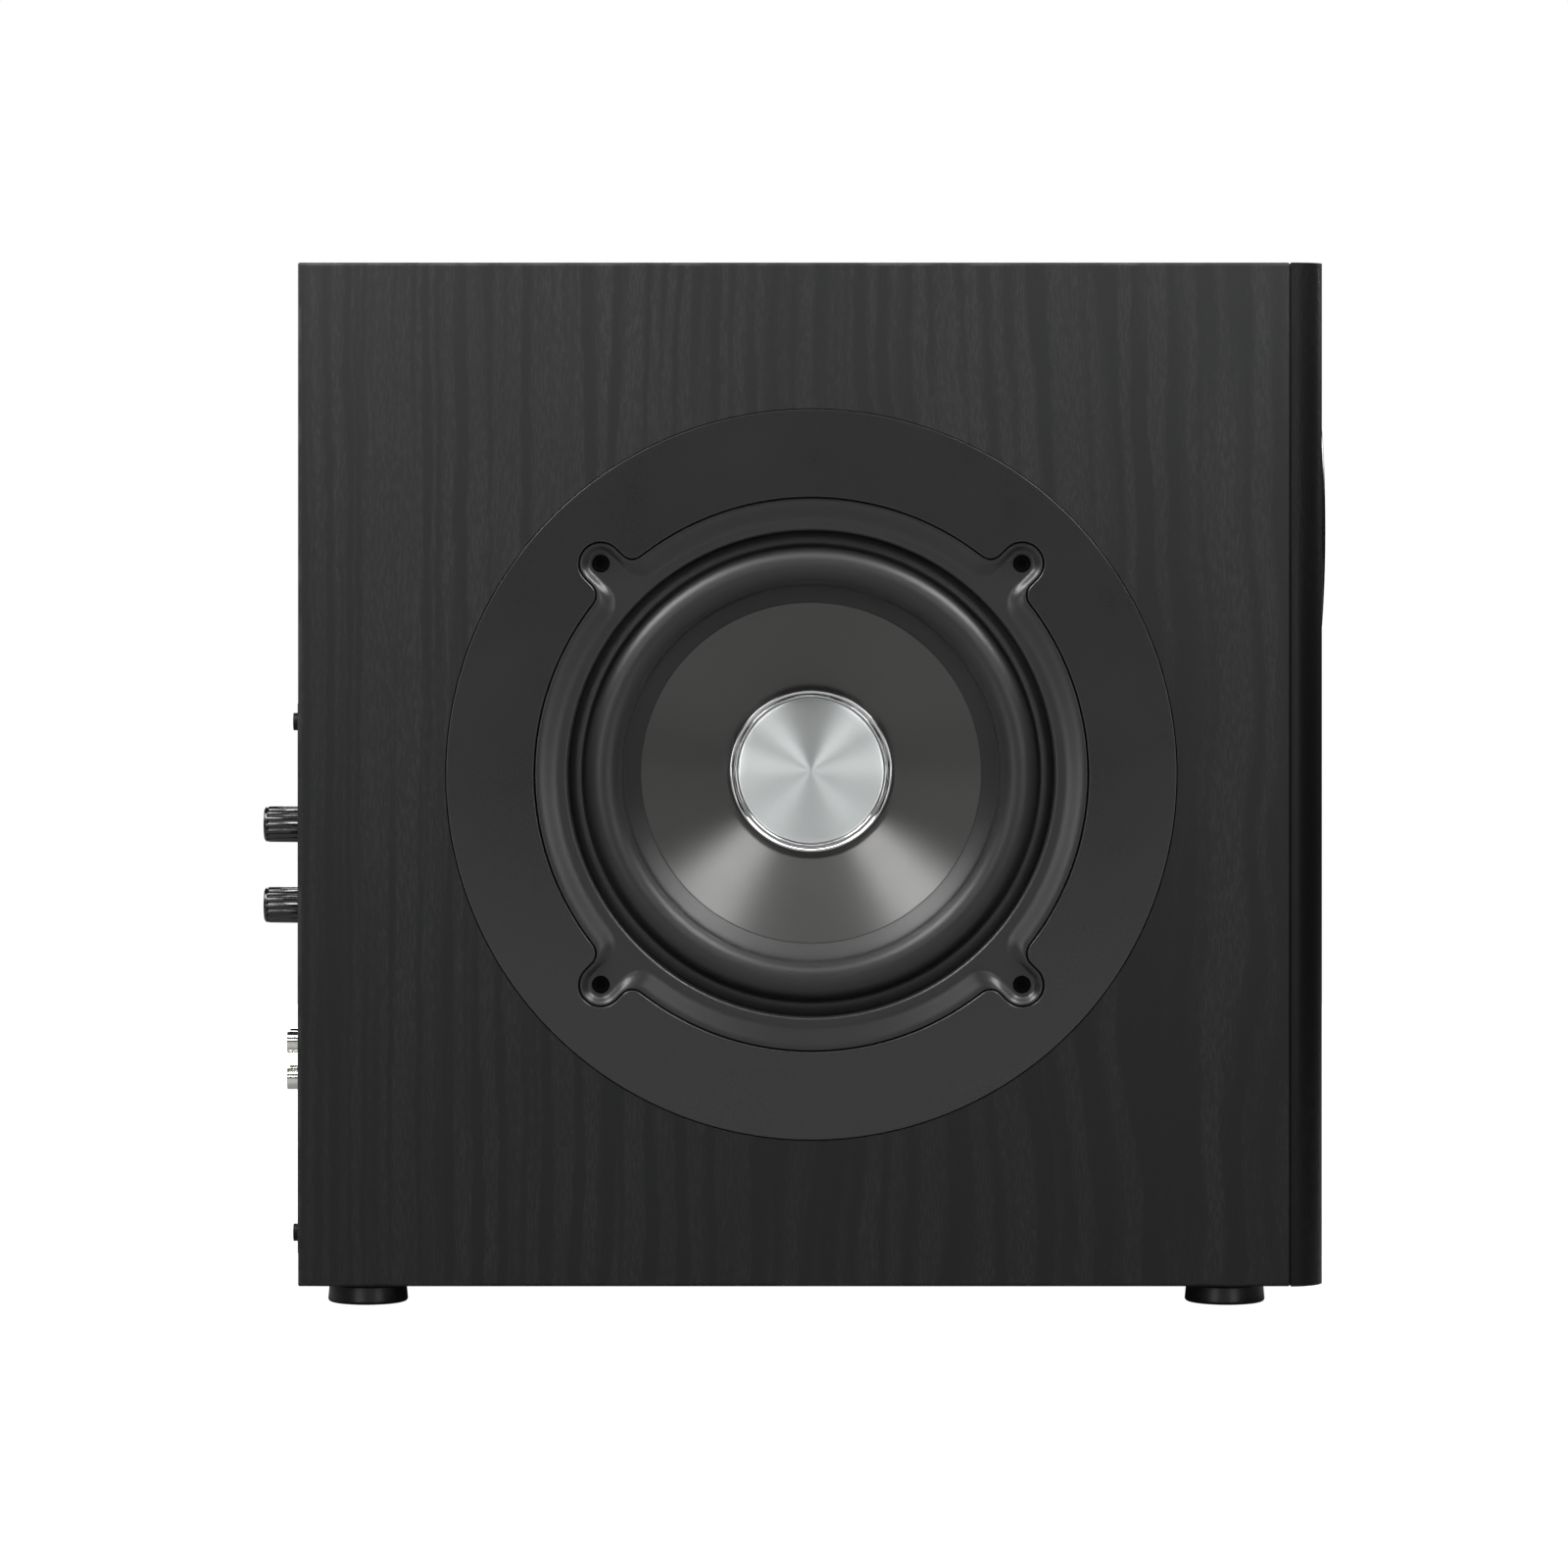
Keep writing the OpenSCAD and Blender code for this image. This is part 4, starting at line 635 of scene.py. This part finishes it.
def make_leads():
    """Two braided leads between the terminal board and the cone."""
    verts, faces = [], []
    steps, sides, radius = 60, 12, 0.62
    top, end = -36.98, -44.27
    for x in (-4.0, 4.0):
        ctrl = np.array([(x, 30, top), (x, 38, top - 7), (x, 47.2, end), (x, 57.2, end)])
        t = np.linspace(0, 1, steps + 1)[:, None]
        path = ((1 - t) ** 3 * ctrl[0] + 3 * (1 - t) ** 2 * t * ctrl[1]
                + 3 * (1 - t) * t ** 2 * ctrl[2] + t ** 3 * ctrl[3])
        ahead = np.gradient(path, axis=0)
        ahead /= np.linalg.norm(ahead, axis=1)[:, None]
        side = np.array([1.0, 0, 0])
        up = np.cross(ahead, side)
        start = len(verts)
        for i, (p, w) in enumerate(zip(path, up)):
            for k in range(sides):
                a = 2 * math.pi * k / sides
                r = radius + 0.08 * math.cos(3 * a + i * 0.9)
                verts.append(at_driver(*(p + r * (math.cos(a) * side + math.sin(a) * w))))
        for i in range(steps):
            for k in range(sides):
                m = (k + 1) % sides
                a, b = start + i * sides, start + (i + 1) * sides
                faces.append([a + k, a + m, b + m, b + k])
        faces.append([start + k for k in range(sides)])
        faces.append([start + steps * sides + k for k in range(sides)])
    obj = piece("braided_leads", verts, faces, "braid", "copper_wire", sharp=60)
    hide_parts("flexible_leads")
    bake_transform(obj)


make_frame()
make_trim()
make_surround()
make_cone()
make_cap()
make_spider()
make_leads()


# ---------------------------------------------------------------- feet and knobs

def make_feet():
    """Rubber feet with a rounded base, a slight flare and a groove under the board."""
    for name in ("foot_front_left", "foot_front_right", "foot_rear_left", "foot_rear_right"):
        low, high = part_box(name)
        cx, cy, h = (low.x + high.x) / 2, (low.y + high.y) / 2, high.z / MM

        def place(x, y, z):
            return (cx + x * MM, cy + y * MM, z * MM)

        section = [(1.9, 4.5), (6.6, 4.5), (7.0, 4.1), (7.0, 0.6), (7.3, 0.15), (7.8, 0.0)]
        section += arc(13.9, 1.1, 1.1, -90, 10, 8)
        section += [(14.85, 2.4), (14.6, 5.4), (14.5, 6.3)] + [(14.2, 6.5), (13.9, 6.9), (14.2, 7.3), (14.5, 7.5)]
        section += [(14.6, h - 0.5), (14.45, h - 0.15), (14.2, h), (1.9, h)]
        obj = piece("rubber_" + name, *turned(section, place, 96), "foot_rubber", "foot_rubber", sharp=45)
        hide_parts(name)
        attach(obj, "cabinet")


def make_knob(name, body):
    """Fluted knob with a round skirt and a bevelled end."""
    low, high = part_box(name)
    cx, cz = (low.x + high.x) / 2, (low.z + high.z) / 2
    start, end = low.y / MM, high.y / MM - 0.06
    n, flutes = 192, 16
    verts, faces, rings = [], [], []

    def ring(y, r, depth):
        ids = []
        for k in range(n):
            t = 2 * math.pi * k / n
            s = math.cos(2 * math.pi * ((k * flutes / n) % 1.0))
            rr = r - depth * (0.5 - 0.5 * s) ** 1.6
            ids.append(len(verts))
            verts.append((cx + rr * math.cos(t) * MM, y * MM, cz + rr * math.sin(t) * MM))
        rings.append(ids)

    # distance from the skirt or from the end, radius, and depth of the flutes
    skirt = [(0, 6.55, 0), (0.15, 6.85, 0), (0.4, 6.98, 0), (1.25, 6.98, 0), (1.5, 6.85, 0), (1.7, 6.7, 0),
             (1.9, 6.78, 0.1), (2.2, 6.9, 0.52), (8, 6.84, 0.52)]
    cap = [(2.0, 6.78, 0.52), (1.7, 6.7, 0.42), (1.45, 6.66, 0.12), (1.3, 6.64, 0), (0.75, 6.6, 0), (0.55, 6.5, 0),
           (0.15, 5.9, 0), (0.03, 5.7, 0), (0, 5.45, 0)]
    for d, r, depth in skirt:
        ring(start + d, r, depth)
    for d, r, depth in cap:
        ring(end - d, r, depth)
    for a, b in zip(rings, rings[1:]):
        faces += [[a[i], a[(i + 1) % n], b[(i + 1) % n], b[i]] for i in range(n)]
    faces.append(rings[-1])
    faces.append(rings[0])
    obj = piece(name + "_fluted", verts, faces, "knob", "knob_plastic", sharp=38)
    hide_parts(name)
    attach(obj, body)


make_feet()
make_knob("volume_knob", "volume_control")
make_knob("lowpass_knob", "lowpass_control")


# ---------------------------------------------------------------- print on the amplifier panel

def strip(verts, faces, a, b, width, y):
    """A flat printed line from a to b, given in X and Z."""
    d = Vector((b[0] - a[0], b[1] - a[1])).normalized()
    s = Vector((-d.y, d.x)) * (width / 2)
    corners = [(a[0] + s.x, a[1] + s.y), (b[0] + s.x, b[1] + s.y),
               (b[0] - s.x, b[1] - s.y), (a[0] - s.x, a[1] - s.y)]
    start = len(verts)
    for dy in (0.02, 0.06):
        verts += [(x, y + dy * MM, z) for x, z in corners]
    q = start
    faces += [[q, q + 1, q + 2, q + 3], [q + 4, q + 5, q + 6, q + 7]]
    faces += [[q + i, q + (i + 1) % 4, q + 4 + (i + 1) % 4, q + 4 + i] for i in range(4)]


def make_print():
    """Ticks round the knobs, a frame round the jacks and a mark at each end of the phase switch."""
    verts, faces = [], []
    w = 0.5 * MM
    for name in ("volume_knob", "lowpass_knob"):
        low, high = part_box(name)
        cx, cz = (low.x + high.x) / 2, (low.z + high.z) / 2
        for i in range(11):
            # ticks from five o'clock round to seven o'clock, seen from behind
            a = math.radians(240 - 30 * i)
            ends = [(cx + r * MM * math.cos(a), cz + r * MM * math.sin(a)) for r in (8.4, 10.6 if i % 5 == 0 else 9.8)]
            strip(verts, faces, *ends, w, PANEL_Y)
    low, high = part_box("jack_shells")
    x0, x1, z0, z1 = low.x - 5 * MM, high.x + 5 * MM, low.z - 5 * MM, high.z + 5 * MM
    for a, b in (((x0, z0), (x1, z0)), ((x1, z0), (x1, z1)), ((x1, z1), (x0, z1)), ((x0, z1), (x0, z0))):
        strip(verts, faces, a, b, w, PANEL_Y)
    low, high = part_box("phase_switch")
    cx, cz = (low.x + high.x) / 2, (low.z + high.z) / 2
    for x in (cx - 6.4 * MM, cx + 6.4 * MM):
        strip(verts, faces, (x, cz - 1.4 * MM), (x, cz + 1.4 * MM), w, PANEL_Y)
    obj = piece("panel_marks", verts, faces, "print", "marker_paint")
    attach(obj, "cabinet")


make_print()


# ---------------------------------------------------------------- wadding

def make_wool():
    """Loose mat under the top board, puffed by a cloth simulation."""
    low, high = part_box("damping_wool")
    size, mid = high - low, (high + low) / 2
    inset = Vector((0.004, 0.004, 0.005))
    bm = bmesh.new()
    bmesh.ops.create_grid(bm, x_segments=24, y_segments=30, size=0.5)
    bmesh.ops.scale(bm, verts=bm.verts, vec=(size.x - 2 * inset.x, size.y - 2 * inset.y, 1))
    made = bmesh.ops.extrude_face_region(bm, geom=bm.faces[:])
    raised = [v for v in made["geom"] if isinstance(v, bmesh.types.BMVert)]
    bmesh.ops.translate(bm, verts=raised, vec=(0, 0, size.z - 2 * inset.z))
    bmesh.ops.translate(bm, verts=bm.verts, vec=(mid.x, mid.y, low.z + inset.z))
    bmesh.ops.recalc_face_normals(bm, faces=bm.faces)
    mesh = bpy.data.meshes.new("wadding_mat")
    bm.to_mesh(mesh)
    bm.free()
    mesh.materials.append(MATS["wadding"])
    obj = bpy.data.objects.new("wadding_mat", mesh)
    bpy.context.scene.collection.objects.link(obj)
    remesh = obj.modifiers.new("remesh", "REMESH")
    remesh.mode = "VOXEL"
    remesh.voxel_size = 0.006
    apply_modifiers(obj)
    rest = np.zeros(len(obj.data.vertices) * 3)
    obj.data.vertices.foreach_get("co", rest)
    cloth = obj.modifiers.new("cloth", "CLOTH")
    cloth.settings.use_pressure = True
    cloth.settings.uniform_pressure_force = 3
    cloth.settings.effector_weights.gravity = 0
    cloth.settings.quality = 4
    scene = bpy.context.scene
    for f in range(1, 21):
        scene.frame_set(f)
    apply_modifiers(obj)
    scene.frame_set(1)
    now = np.zeros(len(obj.data.vertices) * 3)
    obj.data.vertices.foreach_get("co", now)
    move = (now - rest).reshape(-1, 3)
    length = np.linalg.norm(move, axis=1, keepdims=True)
    furthest = 0.008
    move *= np.minimum(1, furthest / np.maximum(length, 1e-9))
    co = rest.reshape(-1, 3) + move
    # dimples, and the space that the CAD solid holds
    u, v = co[:, 0] * 70, co[:, 1] * 62
    co[:, 2] += 0.0012 * np.sin(u) * np.sin(v + 0.6 * np.sin(u * 0.37))
    co = np.clip(co, np.array(low) + 0.0003, np.array(high) - 0.0003)
    obj.data.vertices.foreach_set("co", co.ravel().astype(np.float32))
    obj.data.update()
    obj.data.polygons.foreach_set("use_smooth", [True] * len(obj.data.polygons))
    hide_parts("damping_wool")
    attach(obj, "cabinet")


def apply_modifiers(obj):
    graph = bpy.context.evaluated_depsgraph_get()
    mesh = bpy.data.meshes.new_from_object(obj.evaluated_get(graph))
    obj.modifiers.clear()
    old = obj.data
    obj.data = mesh
    bpy.data.meshes.remove(old)


make_wool()


# ---------------------------------------------------------------- stage, camera and light

def make_floor():
    """A pale disc that glows to the camera alone, shows in reflections and gives no diffuse light."""
    mesh = bpy.data.meshes.new("floor")
    ring = [(1.3 * math.cos(math.radians(5 * k)), 1.3 * math.sin(math.radians(5 * k)), 0) for k in range(72)]
    mesh.from_pydata(ring, [], [list(range(72))])
    g = Graph("floor")
    soft = g.noise(g.coords, 3, 3)
    g.set(base_color=g.mix(soft, (0.43, 0.43, 0.43), (0.46, 0.46, 0.46)), roughness=0.75)
    g.set(emission_color=(1, 1, 1), emission_strength=g.add("ShaderNodeLightPath").outputs["Is Camera Ray"])
    mesh.materials.append(g.material)
    obj = bpy.data.objects.new("floor", mesh)
    bpy.context.scene.collection.objects.link(obj)
    obj.visible_diffuse = False


def make_world(level):
    """White to the camera, and an even grey of this level to everything else."""
    world = bpy.data.worlds.new("world")
    bpy.context.scene.world = world
    world.use_nodes = True
    tree = world.node_tree
    tree.nodes.clear()
    path = tree.nodes.new("ShaderNodeLightPath")
    seen = tree.nodes.new("ShaderNodeBackground")
    lit = tree.nodes.new("ShaderNodeBackground")
    seen.inputs[0].default_value = (1, 1, 1, 1)
    lit.inputs[0].default_value = (level, level, level, 1)
    mix = tree.nodes.new("ShaderNodeMixShader")
    out = tree.nodes.new("ShaderNodeOutputWorld")
    tree.links.new(path.outputs["Is Camera Ray"], mix.inputs[0])
    tree.links.new(lit.outputs[0], mix.inputs[1])
    tree.links.new(seen.outputs[0], mix.inputs[2])
    tree.links.new(mix.outputs[0], out.inputs[0])


def softbox(name, place, target, width, height, power):
    """An area light aimed at target, which the camera doesn't see."""
    data = bpy.data.lights.new(name, "AREA")
    data.shape = "RECTANGLE"
    data.size, data.size_y, data.energy = width, height, power
    obj = bpy.data.objects.new(name, data)
    bpy.context.scene.collection.objects.link(obj)
    obj.visible_camera = False
    obj.location = place
    obj.rotation_euler = (Vector(target) - Vector(place)).to_track_quat("-Z", "Y").to_euler()
    return obj


def studio(name, off_axis, clock, power):
    """A softbox that faces the driver, off_axis degrees from its axis.

    clock is its place round that axis in degrees from straight up, positive towards the front.
    """
    size, away = 0.34, 1.4
    driver = Vector((SIDE_X, DRIVER_Y, DRIVER_Z))
    axis = Vector((-1, 0, 0))
    t, c = math.radians(off_axis), math.radians(clock)
    out = Vector((-math.cos(t), -math.sin(t) * math.sin(c), math.sin(t) * math.cos(c)))
    box = softbox(name, driver + out * away, driver, size, size, power)
    radial = (axis - out * out.dot(axis)).normalized()
    box.rotation_euler = Matrix((radial.cross(out), radial, out)).transposed().to_euler()


# name, place, target, width, height, power
SOFTBOXES = [
    # just above the cabinet, so that they graze the driver's side
    ("near_left", (-0.35, 0.38, 0.62), (-0.165, 0.0, 0.25), 0.25, 0.25, 2.75),
    ("near_right", (-0.35, -0.38, 0.62), (-0.165, 0.0, 0.25), 0.25, 0.25, 2.5),
    ("graze", (-0.34, 0.0, 0.66), (-0.165, 0.0, 0.30), 0.7, 0.12, 1.15),
    ("low", (-0.9, 0.0, 0.06), (-0.165, 0.0, 0.10), 1.0, 0.1, 0.22),
    # behind the driver's side, for the views of the other sides
    ("rear_fill", (0.5, 2.0, 1.0), (0.05, 0.2, 0.2), 0.8, 0.8, 14),
    ("front_fill", (1.4, -1.8, 1.0), (0.05, -0.2, 0.2), 0.8, 0.8, 14),
    ("back_fill", (2.0, 0.0, 1.0), (0.16, 0.0, 0.2), 0.8, 0.8, 14),
]
# name, degrees off the driver's axis, clock, power
STUDIO = [
    ("side_left", 30, -85, 1.7), ("side_right", 30, 85, 1.5),
    ("key_left", 30, -42, 1.5), ("key_right", 30, 42, 1.5),
]

make_floor()
make_world(0.01)
for row in SOFTBOXES:
    softbox(*row)
for row in STUDIO:
    studio(*row)

camera = bpy.data.objects.new("camera", bpy.data.cameras.new("camera"))
bpy.context.scene.collection.objects.link(camera)
camera.location = (-2.465, 0.00605, 0.2973)
camera.rotation_euler = (math.radians(90), 0, math.radians(-90))
camera.data.sensor_width = 36
camera.data.lens = 142.33
camera.data.shift_y = -0.175
camera.data.dof.use_dof = False
bpy.context.scene.camera = camera
